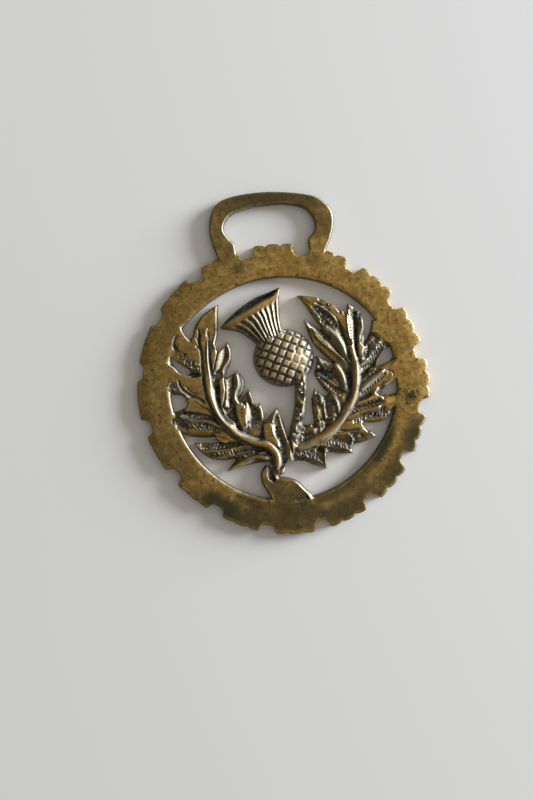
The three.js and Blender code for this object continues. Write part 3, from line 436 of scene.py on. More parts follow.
BARREL = 0.5
LEFT_SINK = 1.6           # how far the crown's left side sinks
HOLLOW = 2.5              # height in the crown's mouth
RIM = 3.7                 # and on its far rim
MOUTH_TUCK = -0.4         # the mouth reaches this far under the lip, as a share of its width
CROWN_LEFT = [(-5.7, 12), (-8, 14.2), (-10.6, 16), (-14.9, 17.1)]
CROWN_RIGHT = [(1, 14.6), (0.6, 18.5), (0.7, 22), (1.1, 25.8)]
CROWN_LIP = [(-14.9, 17.1), (-12.4, 18.5), (-9, 20.2), (-6, 21.6), (-3.5, 22.9), (-1, 23.9), (1.1, 25.8)]
CROWN_RIM = [(-15, 17.4), (-13, 19.4), (-9.4, 22), (-5.5, 24.2), (-2, 25.3), (1.2, 26.4)]

# ---- Root ---------------------------------------------------------------------------------------
ROOT_TOP = 3.35
ROOT_SHOULDER = 0.5       # how much lower its edge is
ROOT_OUTLINE = [
    (-6.9, -19.3), (-8, -21.3), (-7.8, -23.8), (-6.2, -26.8), (-4.4, -29.6), (3.4, -30), (4.9, -28),
    (3.3, -26.1), (1.5, -24), (-0.8, -22.9), (-3.2, -22.3), (-4.6, -21.2), (-5.7, -19.4),
]

# ---- Curves and profiles ------------------------------------------------------------------------
def catmull(points, t):
    """Points on the smooth curve through a list, at shares t of its point count."""
    p = np.asarray(points, float)
    at = np.clip(np.asarray(t, float), 0, 1) * (len(p) - 1)
    k = np.minimum(at.astype(int), len(p) - 2)
    w = (at - k)[..., None]
    p0 = p[np.maximum(k - 1, 0)]
    p1, p2 = p[k], p[k + 1]
    p3 = p[np.minimum(k + 2, len(p) - 1)]
    v0, v1 = (p2 - p0) * 0.5, (p3 - p1) * 0.5
    return (2 * p1 - 2 * p2 + v0 + v1) * w ** 3 + (-3 * p1 + 3 * p2 - 2 * v0 - v1) * w ** 2 + v0 * w + p1


def profile(table, x):
    """Smooth height through a table of (place, height)."""
    places, heights = zip(*table)
    places = np.asarray(places, float)
    at = np.interp(x, places, np.arange(len(places))) / (len(places) - 1)
    return catmull([(h, 0) for h in heights], at)[..., 0]


def smoothstep(low, high, x):
    t = np.clip((x - low) / (high - low), 0, 1)
    return t * t * (3 - 2 * t)


def swell(table, deg):
    """Sum of a table's humps round the ring: amount, direction and spread in degrees."""
    total = 0
    for amount, middle, spread in table:
        off = np.abs((deg - middle + 540) % 360 - 180)
        total = total + amount * np.exp(-(off / spread) ** 2)
    return total


def edge_radius(deg):
    """Radius of the scalloped outer edge."""
    offset, notch, scoop = (np.array(column, float) for column in zip(*HALF_PETAL))
    step = 360 / PETALS
    away = np.abs((deg - TURN + step / 2) % step - step / 2)
    cut = np.interp(away, offset, notch) * np.maximum(0, NOTCH * (1 + swell(NOTCH_WEAR, deg)))
    bay = np.interp(away, offset, scoop) * (SCOOP + swell(SCOOP_WEAR, deg))
    return PETAL + swell(EDGE_SWELL, deg) - cut - bay


def opening_radius(deg):
    """Radius of the ring's opening."""
    t = np.radians(deg)
    drift = OPENING_UP * np.sin(t) + OPENING_LOBES * np.sin(3 * t) + OPENING_OVAL * np.cos(2 * t)
    return INNER + drift + swell(OPENING_WEAR, deg)


def inside_polygon(x, y, outline):
    """Distance inside an outline, negative outside it."""
    p = np.asarray(outline, float)
    q = np.roll(p, -1, axis=0)
    best = np.full(x.shape, np.inf)
    odd = np.zeros(x.shape, bool)
    for (ax, ay), (bx, by) in zip(p, q):
        dx, dy = bx - ax, by - ay
        share = np.clip(((x - ax) * dx + (y - ay) * dy) / (dx * dx + dy * dy + 1e-12), 0, 1)
        best = np.minimum(best, (x - ax - share * dx) ** 2 + (y - ay - share * dy) ** 2)
        if dy != 0:
            odd ^= ((ay > y) != (by > y)) & (x < ax + dx * (y - ay) / dy)
    return np.where(odd, 1, -1) * np.sqrt(best)


def along_spine(x, y, spine):
    """Share along a spine, distance to its right, distance past its ends and distance run."""
    best = np.full(x.shape, np.inf)
    share, right, run = np.zeros(x.shape), np.zeros(x.shape), np.zeros(x.shape)
    legs = np.diff(spine, axis=0)
    lengths = np.hypot(legs[:, 0], legs[:, 1])
    gone = 0.0
    for k, ((px, py), (dx, dy), length) in enumerate(zip(spine, legs, lengths)):
        t = np.clip(((x - px) * dx + (y - py) * dy) / length ** 2, 0, 1)
        ox, oy = x - px - t * dx, y - py - t * dy
        far = ox * ox + oy * oy
        near = far < best
        best = np.where(near, far, best)
        share = np.where(near, (k + t) / len(legs), share)
        right = np.where(near, (ox * dy - oy * dx) / length, right)
        run = np.where(near, gone + t * length, run)
        gone += length
    past = np.sqrt(np.maximum(0, best - right ** 2))
    return share, right, past, run


NOISE_CELLS = 256
NOISE_FROM = (97.3, 61.7)


def noise(x, y, size, seed):
    """Smooth random values from -1 to 1 with features of a given size."""
    table = np.random.default_rng(seed).uniform(-1, 1, (NOISE_CELLS, NOISE_CELLS))
    u, v = x / size + NOISE_FROM[0], y / size + NOISE_FROM[1]
    iu, iv = np.floor(u).astype(int), np.floor(v).astype(int)
    fu, fv = u - iu, v - iv
    fu, fv = fu * fu * (3 - 2 * fu), fv * fv * (3 - 2 * fv)
    this, after = iu % NOISE_CELLS, (iu + 1) % NOISE_CELLS
    low, high = (table[this, row] * (1 - fu) + table[after, row] * fu
                 for row in (iv % NOISE_CELLS, (iv + 1) % NOISE_CELLS))
    return low * (1 - fv) + high * fv


def wave(x, y, settings):
    """Noise from a setting: amount, size and seed."""
    amount, size, seed = settings
    return amount * noise(x, y, size, seed)


def smear(grid, kernel):
    """A grid spread along both of its axes by a kernel."""
    reach = len(kernel) // 2
    for axis in (0, 1):
        grid = sum(w * np.roll(grid, k, axis) for k, w in zip(range(-reach, reach + 1), kernel))
    return grid


def blur(grid, weight, spread):
    """Gaussian blur of a grid where its weight is one."""
    reach = max(1, int(math.ceil(3 * spread / PITCH)))
    kernel = np.exp(-0.5 * (np.arange(-reach, reach + 1) * PITCH / spread) ** 2)
    return smear(grid * weight, kernel) / np.maximum(smear(weight, kernel), 1e-6)


# ---- The field ----------------------------------------------------------------------------------
class Field:
    """Height over the plan, how far inside the outline each sample is, and how sooty and painted-shaded it
    is.
    """

    def __init__(self, low, high):
        self.x = np.arange(low[0] - 3 * PITCH, high[0] + 3 * PITCH, PITCH)
        self.y = np.arange(low[1] - 3 * PITCH, high[1] + 3 * PITCH, PITCH)
        self.X, self.Y = np.meshgrid(self.x, self.y)
        self.height = np.zeros(self.X.shape)
        self.cover = np.full(self.X.shape, OUTSIDE)
        self.soot_and_shade = np.zeros(self.X.shape)

    def window(self, points, reach=0.0):
        """The part of the field round some points, with room for the forms' sides, and its X and Y."""
        low, high = np.min(points, 0) - reach, np.max(points, 0) + reach
        i = np.searchsorted(self.y, (low[1] - MARGIN, high[1] + MARGIN))
        j = np.searchsorted(self.x, (low[0] - MARGIN, high[0] + MARGIN))
        part = slice(i[0], i[1]), slice(j[0], j[1])
        return part, self.X[part], self.Y[part]

    def near_line(self, points, reach):
        """A window round a smooth line, where its samples lie by the line, and the line's length."""
        spine = catmull(points, np.linspace(0, 1, 8 * len(points)))
        part, x, y = self.window(spine, reach)
        return part, *along_spine(x, y, spine), np.hypot(*np.diff(spine, axis=0).T).sum()

    def lay(self, part, height, inside):
        """Raise the field to a form, whose sides fall away steeply past its own outline."""
        side = np.where(inside > -MARGIN, height + FLANK * np.minimum(0, inside), 0)
        here = self.height[part]
        blend = np.maximum(0, 1 - np.abs(here - side) / FILLET) ** 2 * FILLET / 4
        self.height[part] = np.maximum(here, side) + blend
        self.cover[part] = np.maximum(self.cover[part], inside)

    def tarnish(self, part, soot_and_shade):
        """Darken the field where it isn't as dark already."""
        self.soot_and_shade[part] = np.maximum(self.soot_and_shade[part], soot_and_shade)


# ---- Ring, hanger, webs and root ----------------------------------------------------------------
def lay_ring(field):
    r = np.hypot(field.X, field.Y)
    deg = np.degrees(np.arctan2(field.Y, field.X)) % 360
    outer, inner = edge_radius(deg), opening_radius(deg)
    z = RING_TOP - RING_FALL * np.clip((r - PETAL + FALL_WIDTH) / FALL_WIDTH, 0, 1.2) ** 2
    lip = RING_TOP - LIP_FALL * (1 - np.clip((r - inner) / LIP_WIDTH, 0, 1)) ** 2
    z = np.minimum(z, lip)
    for settings in FACE_WAVES:
        z += wave(field.X, field.Y, settings)
    field.lay((slice(None), slice(None)), z, np.minimum(outer - r, r - inner))


def hanger_shapes():
    """The hanger's outline and its slot."""
    outer = catmull(HANGER_OUTLINE, np.linspace(0, 1, 60))
    left = catmull([(-BAR_HALF, BAR_UNDERSIDE), *SLOT_LEFT], np.linspace(0, 1, 24))
    right = catmull([*SLOT_RIGHT, (BAR_HALF, BAR_UNDERSIDE)], np.linspace(0, 1, 24))
    return outer, np.concatenate([left, SLOT_FOOT, right])


def lay_hanger(field):
    outer, slot = hanger_shapes()
    part, x, y = field.window(outer)
    inside = np.minimum(inside_polygon(x, y, outer), -inside_polygon(x, y, slot))
    r = HANGER_ROUND
    z = HANGER_TOP - r + np.sqrt(r * r - (r - np.clip(inside, 0, r)) ** 2)
    field.lay(part, z, inside)


def lay_web(field, outline):
    part, x, y = field.window(outline)
    field.lay(part, WEB_TOP + wave(x, y, WEB_WAVE), inside_polygon(x, y, outline))


def lay_root(field):
    outline = catmull([*ROOT_OUTLINE, ROOT_OUTLINE[0]], np.linspace(0, 1, 48))[:-1]
    part, x, y = field.window(outline)
    inside = inside_polygon(x, y, outline)
    field.lay(part, ROOT_TOP - ROOT_SHOULDER * (1 - smoothstep(0, 1.0, inside)), inside)


# ---- Leaves and stems ---------------------------------------------------------------------------
def lay_leaf(field, leaf):
    foot, tip, bow, left, right, belly, foot_share, crest, section = leaf
    a, b = np.array(foot, float), np.array(tip, float)
    along = b - a
    middle = (a + b) / 2 + np.array((-along[1], along[0])) * 2 * bow
    t = np.linspace(0, 1, 33)[:, None]
    spine = (1 - t) ** 2 * a + 2 * t * (1 - t) * middle + t ** 2 * b
    part, x, y = field.window(spine, max(left, right))
    v, w, past, _ = along_spine(x, y, spine)
    swelling = foot_share + (1 - foot_share) * np.sin(math.pi / 2 * np.minimum(v / belly, 1))
    tapering = np.cos(math.pi / 2 * np.clip((v - belly) / (1 - belly), 0, 1))
    half = np.where(v < belly, swelling, np.maximum(TIP_SHARE, tapering)) * np.where(w < 0, left, right)
    sunk = np.maximum(0, (v - TIP_FROM) / (1 - TIP_FROM)) ** 2
    tall = crest - (crest - LEAF_EDGE - TIP_RISE) * sunk
    z = LEAF_EDGE + (tall - LEAF_EDGE) * profile(SECTIONS[section], np.clip(w / half, -1, 1))
    run_out = smoothstep(INNER - RUN_OUT[0], INNER + RUN_OUT[1], np.hypot(x, y))
    field.lay(part, z - run_out * (z - RING_TOP + RUN_OUT_UNDER), half - np.abs(w) - past)


def lay_stem(field, stem):
    points, start_half, end_half, ridge, knobs = stem
    spine = catmull(points, np.linspace(0, 1, 80))
    part, x, y = field.window(spine, max(start_half, end_half))
    v, w, past, _ = along_spine(x, y, spine)
    half = start_half + (end_half - start_half) * v
    u = np.clip(w / half, -1, 1)
    bumps = noise(x, y, KNOB_SIZE, 11)
    z = STEM_EDGE + (ridge - STEM_EDGE) * np.sqrt(1 - u * u) + KNOB_HEIGHT * knobs * (bumps - KNOB_SINK)
    inside = half - np.abs(w) - past
    field.lay(part, z, inside)
    if knobs:
        field.soot_and_shade[part] = np.where(inside > 0, smoothstep(0.1, -0.4, bumps), field.soot_and_shade[part])


# ---- Carving of the leaves ----------------------------------------------------------------------
def set_facet(field, facet):
    """Put a flat or sloping facet in place of what is there."""
    outline, (x0, y0), height, (across, up), soft = facet
    part, x, y = field.window(outline)
    z = height + across * (x - x0) + up * (y - y0) + wave(x, y, FACET_WAVE)
    share = smoothstep(-soft / 2, soft / 2, inside_polygon(x, y, outline)) * (field.cover[part] > 0)
    field.height[part] += share * (z - field.height[part])
    field.soot_and_shade[part] *= 1 - share


def cut_thicket(field, thicket):
    middle, radii, depth = thicket
    part, x, y = field.window([middle], radii)
    away = np.hypot((x - middle[0]) / radii[0], (y - middle[1]) / radii[1])
    where = 1 - smoothstep(0.65, 1.05, away)
    bumps = wave(x, y, COARSE_KNOBS) + wave(y, x, FINE_KNOBS)
    field.height[part] += depth * (THICKET_RISE * bumps - THICKET_BED) * where
    field.tarnish(part, where * smoothstep(0.45, 0.0, bumps))


def cut_feather(field, feather):
    """Barbs beside a spine, deepest halfway out, and fine ones where they are shallow."""
    points, left, right, pitch, depth, slant = feather
    part, _, w, past, run, length = field.near_line(points, max(left, right))
    x, y = field.X[part], field.Y[part]
    out = np.abs(w) / np.where(w < 0, left, right)
    phase = (run + slant * np.abs(w)) / pitch + wave(x, y, BARB_STRAY)
    thin = 1.3 if depth > BROAD_BARBS else 3
    groove = (0.5 + 0.5 * np.cos(2 * math.pi * phase)) ** thin * (0.75 + wave(x, y, BARB_CHANGE))
    where = smoothstep(0.08, 0.3, out) * (1 - smoothstep(0.8, 1.05, out)) * (past < 0.3)
    where = where * smoothstep(0, 0.8, run) * smoothstep(0, 0.8, length - run)
    field.height[part] -= depth * (BARB_BED + BARB_CUT * groove) * where
    field.tarnish(part, (np.clip(2 * depth - 0.6, 0, 0.45) + 0.7 * groove) * where)


def lay_rib(field, rib):
    """A rubbed top with a steep left side and a right side of its own slope, fading at both ends."""
    points, half, top, *side = rib
    steepness, reach = side or STEEP
    part, v, w, past, run, length = field.near_line(points, half + reach)
    if isinstance(top, tuple):
        top = top[0] + (top[1] - top[0]) * smoothstep(0, 0.5, v)
    fade = 2.5 * half + 0.4
    ends = smoothstep(0, 1, np.minimum(1, np.minimum(run, length - run) / fade + 0.3))
    narrow = half * (0.5 + 0.5 * ends)
    reach = reach * np.sqrt(np.maximum(0.02, np.sin(math.pi * np.clip(run / length, 0, 1))))
    beyond = np.maximum(0, np.abs(w) - narrow)
    slope = np.minimum(beyond, reach)
    right = steepness * slope * (0.4 + 0.6 * slope / reach) + STEEP[0] * (beyond - slope)
    fall = np.where(w > 0, right, STEEP[0] * beyond) + STEEP[0] * past
    crown = RIB_CROWN * np.minimum(1, np.abs(w) / narrow) ** 2
    z = top - (1 - ends) * RIB_SINK - crown - fall
    here = field.height[part]
    field.height[part] = np.where(field.cover[part] > 0, np.maximum(here, z), here)
    field.soot_and_shade[part] *= np.where(z > here, 0.0, 1.0)


def cut_groove(field, groove):
    points, half, depth = groove
    part, _, w, past, run, length = field.near_line(points, 3 * half)
    ends = smoothstep(0, 3 * half, run) * smoothstep(0, 3 * half, length - run)
    cut = np.exp(-(np.hypot(w, past) / half) ** 2) * (0.3 + 0.7 * ends)
    field.height[part] -= GROOVE_SHARE * depth * cut
    field.tarnish(part, np.minimum(1, 1.7 * cut))


# ---- The thistle's head and crown ---------------------------------------------------------------
def head_height(x, y):
    """Height of the head's plain round, from its middle."""
    return BULB_AT[2] + BULB_RADII[2] * np.sqrt(
        np.maximum(0, 1 - (x / BULB_RADII[0]) ** 2 - (y / BULB_RADII[1]) ** 2))


def stud_grid(x, y):
    """How far each place is from its stud's middle, in pitches, and the head's height at that middle."""
    rows, columns = math.radians(STUD_ROWS), math.radians(STUD_COLUMNS)
    skew = math.sin(columns - rows)
    wander = STUD_WANDER * noise(x, y, 2.0, 41)
    i = (x * math.sin(columns) - y * math.cos(columns)) / skew / STUD_PITCH - STUD_SHIFT[0] + wander
    j = (y * math.cos(rows) - x * math.sin(rows)) / skew / STUD_PITCH - STUD_SHIFT[1] - wander
    away = np.maximum(np.abs(i - np.round(i)), np.abs(j - np.round(j)))
    a, b = np.round(i) + STUD_SHIFT[0], np.round(j) + STUD_SHIFT[1]
    middle_x = STUD_PITCH * (a * math.cos(rows) + b * math.cos(columns))
    middle_y = STUD_PITCH * (a * math.sin(rows) + b * math.sin(columns))
    return away, head_height(middle_x, middle_y)


def lay_bulb(field):
    (cx, cy, _), (rx, ry, _) = BULB_AT, BULB_RADII
    part, x, y = field.window([(cx, cy)], (rx, ry))
    worn = smoothstep(STUD_WORN[2] * 0.6, STUD_WORN[2] * 1.1, np.hypot(x - STUD_WORN[0], y - STUD_WORN[1]))
    x, y = x - cx, y - cy
    r = np.hypot(x / rx, y / ry)
    away, middle_z = stud_grid(x, y)
    z = head_height(x, y)
    z += STUD_FLAT * np.clip(middle_z - z, -0.5, 0.5) * smoothstep(1.0, 0.9, r)
    half = STUD_SIZE / STUD_PITCH / 2
    gap = smoothstep(half - 0.05, half + 0.05, away) * (GAP_LEFT + (1 - GAP_LEFT) * worn)
    z += (STUD_RISE - (STUD_RISE + STUD_GAP) * gap) * smoothstep(1.0, 0.93, r)
    inside = (1 - r) * min(rx, ry)
    field.lay(part, z, inside)
    # Painted shade on the head's lower left, away from the light; soot in the gaps between the studs.
    painted_shade = HEAD_PAINTED_SHADE * smoothstep(0.72, 1.0, r) * smoothstep(0.1, -0.6, (x + 0.6 * y) / rx)
    field.soot_and_shade[part] = np.where(inside > 0, np.maximum(0.95 * gap, painted_shade), field.soot_and_shade[part])


def crown_place(u, v):
    """The crown's patch: u across it from the left side to the right, v up it from neck to lip."""
    left, right = np.array(CROWN_LEFT, float), np.array(CROWN_RIGHT, float)
    chord = left[-1] + (right[-1] - left[-1]) * u[..., None]
    side = catmull(left, v) * (1 - u[..., None]) + catmull(right, v) * u[..., None]
    return side + (catmull(CROWN_LIP, u) - chord) * v[..., None]


def flute_valley(u, v):
    """How deep between two flutes, none on the lip's band. The flutes on the right lean outwards."""
    turn = FLUTES * u % 1
    upright = 1 - np.abs(np.sin(math.pi * turn)) ** 1.3
    leaning = np.maximum(1 - turn / 0.16, (turn - 0.16) / 0.84)
    valley = upright + (leaning - upright) * smoothstep(0.42, 0.56, u)
    return valley * (1 - smoothstep(LIP_BAND, LIP_BAND + 0.1, v)) * smoothstep(-0.05, 0.1, v)


def crown_height(u, v):
    z = CROWN_NECK + (CROWN_LIP_TOP - CROWN_NECK) * v + BARREL * np.sin(math.pi * u)
    return z - FLUTE_DEPTH * flute_valley(u, v) - LEFT_SINK * (1 - u) ** 4


# Soot in the flute valleys, with painted shade: the left valleys and the crown's left flank are darker, the
# side away from the light.
def crown_soot_and_shade(u, v):
    right = smoothstep(0.42, 0.56, u)
    valley = (1.7 - 0.4 * right) * flute_valley(u, v) ** (0.8 + 5 * right)
    flank = 0.9 * smoothstep(0.14, 0.05, u) * smoothstep(LIP_BAND + 0.08, LIP_BAND - 0.05, v)
    return np.minimum(1, np.maximum(valley, flank))


def mouth_tuck(v):
    """Share of the way from the lip to the far rim, from under the lip on."""
    return MOUTH_TUCK + (1 - MOUTH_TUCK) * v


def mouth_place(u, v):
    tuck = mouth_tuck(v)[..., None]
    return catmull(CROWN_LIP, u) * (1 - tuck) + catmull(CROWN_RIM, u) * tuck


def mouth_height(u, v):
    return HOLLOW + (RIM - HOLLOW) * smoothstep(0.55, 0.95, mouth_tuck(v)) - 0.25 * smoothstep(0.2, 0.5, v)


# The mouth darkens from partway in towards the far rim: soot and painted shade of the hollow.
def mouth_soot_and_shade(u, v):
    return smoothstep(0.3, 0.45, v)


def partials(place, u, v):
    """How a patch's place changes along its two directions."""
    small = 1e-3
    du = (place(u + small, v) - place(u - small, v)) / (2 * small)
    dv = (place(u, v + small) - place(u, v - small)) / (2 * small)
    return du, dv


def find_on_patch(place, xy, u, v):
    """Where on a patch each place lies, by Newton steps from a first guess."""
    for _ in range(5):
        off = xy - place(u, v)
        du, dv = partials(place, u, v)
        det = du[:, 0] * dv[:, 1] - du[:, 1] * dv[:, 0]
        det = np.where(np.abs(det) < 1e-6, 1e-6, det)
        u = np.clip(u + (off[:, 0] * dv[:, 1] - off[:, 1] * dv[:, 0]) / det, 0, 1)
        v = np.clip(v + (du[:, 0] * off[:, 1] - du[:, 1] * off[:, 0]) / det, 0, 1)
    return u, v


def lay_patch(field, place, height, soot_and_shade):
    """Lay a form given over a bent patch, starting each sample's search at the nearest spot of a grid."""
    u, v = (grid.ravel() for grid in np.meshgrid(np.linspace(0, 1, 60), np.linspace(0, 1, 40)))
    spots = place(u, v)
    part, x, y = field.window(spots)
    xy = np.stack([x.ravel(), y.ravel()], 1)
    batches = np.array_split(xy, len(xy) // 4000 + 1)
    nearest = np.concatenate([((few[:, None] - spots) ** 2).sum(2).argmin(1) for few in batches])
    u, v = find_on_patch(place, xy, u[nearest], v[nearest])
    miss = np.hypot(*(xy - place(u, v)).T)
    scale_u, scale_v = (np.hypot(*change.T) for change in partials(place, u, v))
    deep = np.minimum(np.minimum(u, 1 - u) * scale_u, np.minimum(v, 1 - v) * scale_v)
    inside = np.where(miss > 1e-2, -miss, deep).reshape(x.shape)
    field.lay(part, height(u, v).reshape(x.shape), inside)
    field.soot_and_shade[part] = np.where(inside > 0, soot_and_shade(u, v).reshape(x.shape), field.soot_and_shade[part])


def round_edges(field):
    """Soften the whole casting, and round its upper edge: little on the ring, more on the wreath."""
    field.height = blur(field.height, (field.cover > -2 * PITCH).astype(float), SOFTEN)
    wreath = smoothstep(INNER + WREATH_BAND, INNER - WREATH_BAND, np.hypot(field.X, field.Y))
    radius = RING_ROUND + (LEAF_ROUND - RING_ROUND) * wreath
    near = np.clip(field.cover, 0, radius)
    field.height -= radius - np.sqrt(radius ** 2 - (radius - near) ** 2)
    field.height = np.maximum(field.height, THINNEST)


def build_field():
    """The whole casting as a field, and the middle of its plan."""
    outer, _ = hanger_shapes()
    deg = np.arange(0, 360, 0.25)
    rim = edge_radius(deg)
    x, y = rim * np.cos(np.radians(deg)), rim * np.sin(np.radians(deg))
    low, high = (x.min(), y.min()), (x.max(), outer[:, 1].max())
    field = Field(low, high)
    for web in WEBS:
        lay_web(field, web)
    lay_ring(field)
    lay_hanger(field)
    lay_root(field)
    steps = [(lay_leaf, LEFT_BRANCH + RIGHT_BRANCH), (lay_stem, STEMS), (set_facet, FACETS),
             (cut_thicket, THICKETS), (cut_feather, FEATHERS), (lay_rib, RIBS), (cut_groove, GROOVES)]
    for work, forms in steps:
        for form in forms:
            work(field, form)
    lay_patch(field, crown_place, crown_height, crown_soot_and_shade)
    lay_patch(field, mouth_place, mouth_height, mouth_soot_and_shade)
    lay_bulb(field)
    round_edges(field)
    return field, (np.array(low) + np.array(high)) / 2


# ---- Skinning -----------------------------------------------------------------------------------
# Corners 0 to 3 run round a cell from its low corner; 4 to 7 are the crossings on its four sides.
CELL_SHAPES = {
    1: [(0, 4, 7)], 2: [(1, 5, 4)], 3: [(0, 1, 5, 7)], 4: [(2, 6, 5)], 5: [(0, 4, 7), (2, 6, 5)],
    6: [(1, 2, 6, 4)], 7: [(0, 1, 2, 6, 7)], 8: [(3, 7, 6)], 9: [(0, 4, 6, 3)],
    10: [(1, 5, 4), (3, 7, 6)], 11: [(0, 1, 5, 6, 3)], 12: [(2, 3, 7, 5)], 13: [(0, 4, 5, 2, 3)],
    14: [(1, 2, 3, 7, 4)], 15: [(0, 1, 2, 3)],
}
SLIVER = 0.04             # a crossing stays this share of a side away from its ends


def number_points(field):
    """Number the samples inside the outline and its crossings with the grid: numbers, plan, heights."""
    cover, solid = field.cover, field.cover > 0
    rows, columns = cover.shape
    number = np.full((3, rows, columns), -1)
    iy, ix = np.nonzero(solid)
    number[0, iy, ix] = np.arange(len(iy))
    spots = [np.stack([field.x[ix], field.y[iy]], 1)]
    heights = [field.height[iy, ix]]
    count = len(iy)
    for layer, dy, dx in ((1, 0, 1), (2, 1, 0)):
        iy, ix = np.nonzero(solid[:rows - dy, :columns - dx] != solid[dy:, dx:])
        near, far = cover[iy, ix], cover[iy + dy, ix + dx]
        t = np.clip(near / (near - far), SLIVER, 1 - SLIVER)
        number[layer, iy, ix] = count + np.arange(len(iy))
        spots.append(np.stack([field.x[ix] + t * dx * PITCH, field.y[iy] + t * dy * PITCH], 1))
        heights.append(np.where(near > 0, field.height[iy, ix], field.height[iy + dy, ix + dx]))
        count += len(iy)
    return number, np.concatenate(spots), np.concatenate(heights)


def skin(field):
    """Vertices and triangles of the closed casting: relief, upright sides and flat back."""
    number, spots, heights = number_points(field)
    count = len(spots)
    solid = field.cover > 0
    code = solid[:-1, :-1] * 1 + solid[:-1, 1:] * 2 + solid[1:, 1:] * 4 + solid[1:, :-1] * 8
    top, walls = [], []
    for case, shapes in CELL_SHAPES.items():
        iy, ix = np.nonzero(code == case)
        corner = [number[0, iy, ix], number[0, iy, ix + 1], number[0, iy + 1, ix + 1],
                  number[0, iy + 1, ix], number[1, iy, ix], number[2, iy, ix + 1],
                  number[1, iy + 1, ix], number[2, iy, ix]]
        for shape in shapes:
            for b, c in zip(shape[1:], shape[2:]):
                top.append(np.stack([corner[shape[0]], corner[b], corner[c]], 1))
            for a, b in zip(shape, shape[1:] + shape[:1]):
                if a > 3 and b > 3:
                    walls.append(np.stack([corner[a], corner[b]], 1))
    top = np.concatenate(top)
    a, b = np.concatenate(walls).T
    sides = np.concatenate([np.stack([b, a, a + count], 1), np.stack([b, a + count, b + count], 1)])
    back = top[:, ::-1] + count
    vertices = np.concatenate([np.column_stack([spots, heights]),
                               np.column_stack([spots, np.zeros(count)])])
    return vertices, np.concatenate([top, sides, back])


def mesh_from(name, vertices, triangles):
    mesh = bpy.data.meshes.new(name)
    mesh.vertices.add(len(vertices))
    mesh.vertices.foreach_set("co", vertices.astype(np.float32).ravel())
    mesh.loops.add(3 * len(triangles))
    mesh.loops.foreach_set("vertex_index", triangles.astype(np.int32).ravel())
    mesh.polygons.add(len(triangles))
    mesh.polygons.foreach_set("loop_start", np.arange(0, 3 * len(triangles), 3, dtype=np.int32))
    mesh.polygons.foreach_set("loop_total", np.full(len(triangles), 3, dtype=np.int32))
    mesh.update(calc_edges=True)
    return mesh


def casting():
    """The casting as one closed mesh, moved to the solid's place and thinned."""
    field, middle = build_field()
    vertices, triangles = skin(field)
    shift = (np.array(CAD_LOW.xy) + np.array(CAD_HIGH.xy)) / 2 / MM - middle
    vertices[:, :2] += shift
    piece = bpy.data.objects.new("brass_casting", mesh_from("relief", vertices * MM, triangles))
    bpy.context.collection.objects.link(piece)
    thin = piece.modifiers.new("thin", "DECIMATE")
    thin.ratio = min(1.0, MOST_TRIANGLES / len(triangles))
    thin.use_collapse_triangulate = True
    ready = piece.evaluated_get(bpy.context.evaluated_depsgraph_get())
    mesh = bpy.data.meshes.new_from_object(ready)
    piece.modifiers.clear()
    piece.data = mesh
    co = np.empty(3 * len(mesh.vertices), np.float32)
    mesh.vertices.foreach_get("co", co)
    co = np.clip(co.reshape(-1, 3), np.array(CAD_LOW), np.array(CAD_HIGH))
    mesh.vertices.foreach_set("co", co.ravel())
    store_patina_and_light(field, mesh, co, shift)
    mesh.shade_smooth()
    mesh.set_sharp_from_angle(angle=CREASE)
    return piece


# ---- Patina, painted highlight and painted shade ------------------------------------------------
LIT_SIDE = math.radians(-4)              # the slopes that face this way, towards the light, get a painted highlight
PLAIN_BACK = {"level": 4.0, "edge": 3.0}    # the back has no hollows and no rubbed edges
FINE_SPREAD = 0.35        # a place is hollow or proud against its neighbourhood of this size
BROAD_SPREAD = 1.4
SLOPE_SPREAD = 0.12
CREST_POLISH = 0.16
HEAD_POLISH = 0.62        # at the head's middle
HEAD_SHEEN_TILT = 0.022  # and more by this for each millimetre to the right, a painted highlight on the side facing the light
HEAD_RISE = 0.26          # the head is rubbed pale all over by this much
HEAD_LEE = 0.45           # share of the shade that the head's left side keeps
RING_LEVEL = 2.0          # the ring counts as this much higher, so it never looks like a hollow
# Streaks on the ring, light ones positive: points, half-width and amount.
STREAKS = [
    ([(-11, 48.6), (-4, 49.9), (4, 49.9), (11, 48.4)], 2.0, -0.35),
    ([(-33, -12), (-27, -22), (-21, -28)], 3.2, -0.14),
    ([(29.5, -11.5), (28, -15.5), (25, -20), (20, -25)], 1.0, 0.65),
    ([(26.8, -9.6), (25.6, -14.6), (22.4, -20)], 1.4, -0.42),
    ([(33, -14), (30, -20), (26, -25)], 1.2, -0.15),
    ([(-22, -26), (-17, -30)], 2.2, -0.36),
    ([(-26, -22), (-20, -23.6), (-13, -29)], 0.8, 0.3),
    ([(-4, -31.5), (6, -32.5)], 2.0, -0.08),
    ([(8, -31), (16, -28)], 1.0, 0.35),
    ([(-10, -36), (0, -36.8), (8, -35.4)], 0.7, 0.35),
]


def streak_marks(field):
    marks = np.zeros(field.X.shape)
    for points, half, amount in STREAKS:
        part, _, w, past, _, _ = field.near_line(points, 2 * half)
        marks[part] += amount * np.exp(-((w ** 2 + past ** 2) / half ** 2))
    return marks


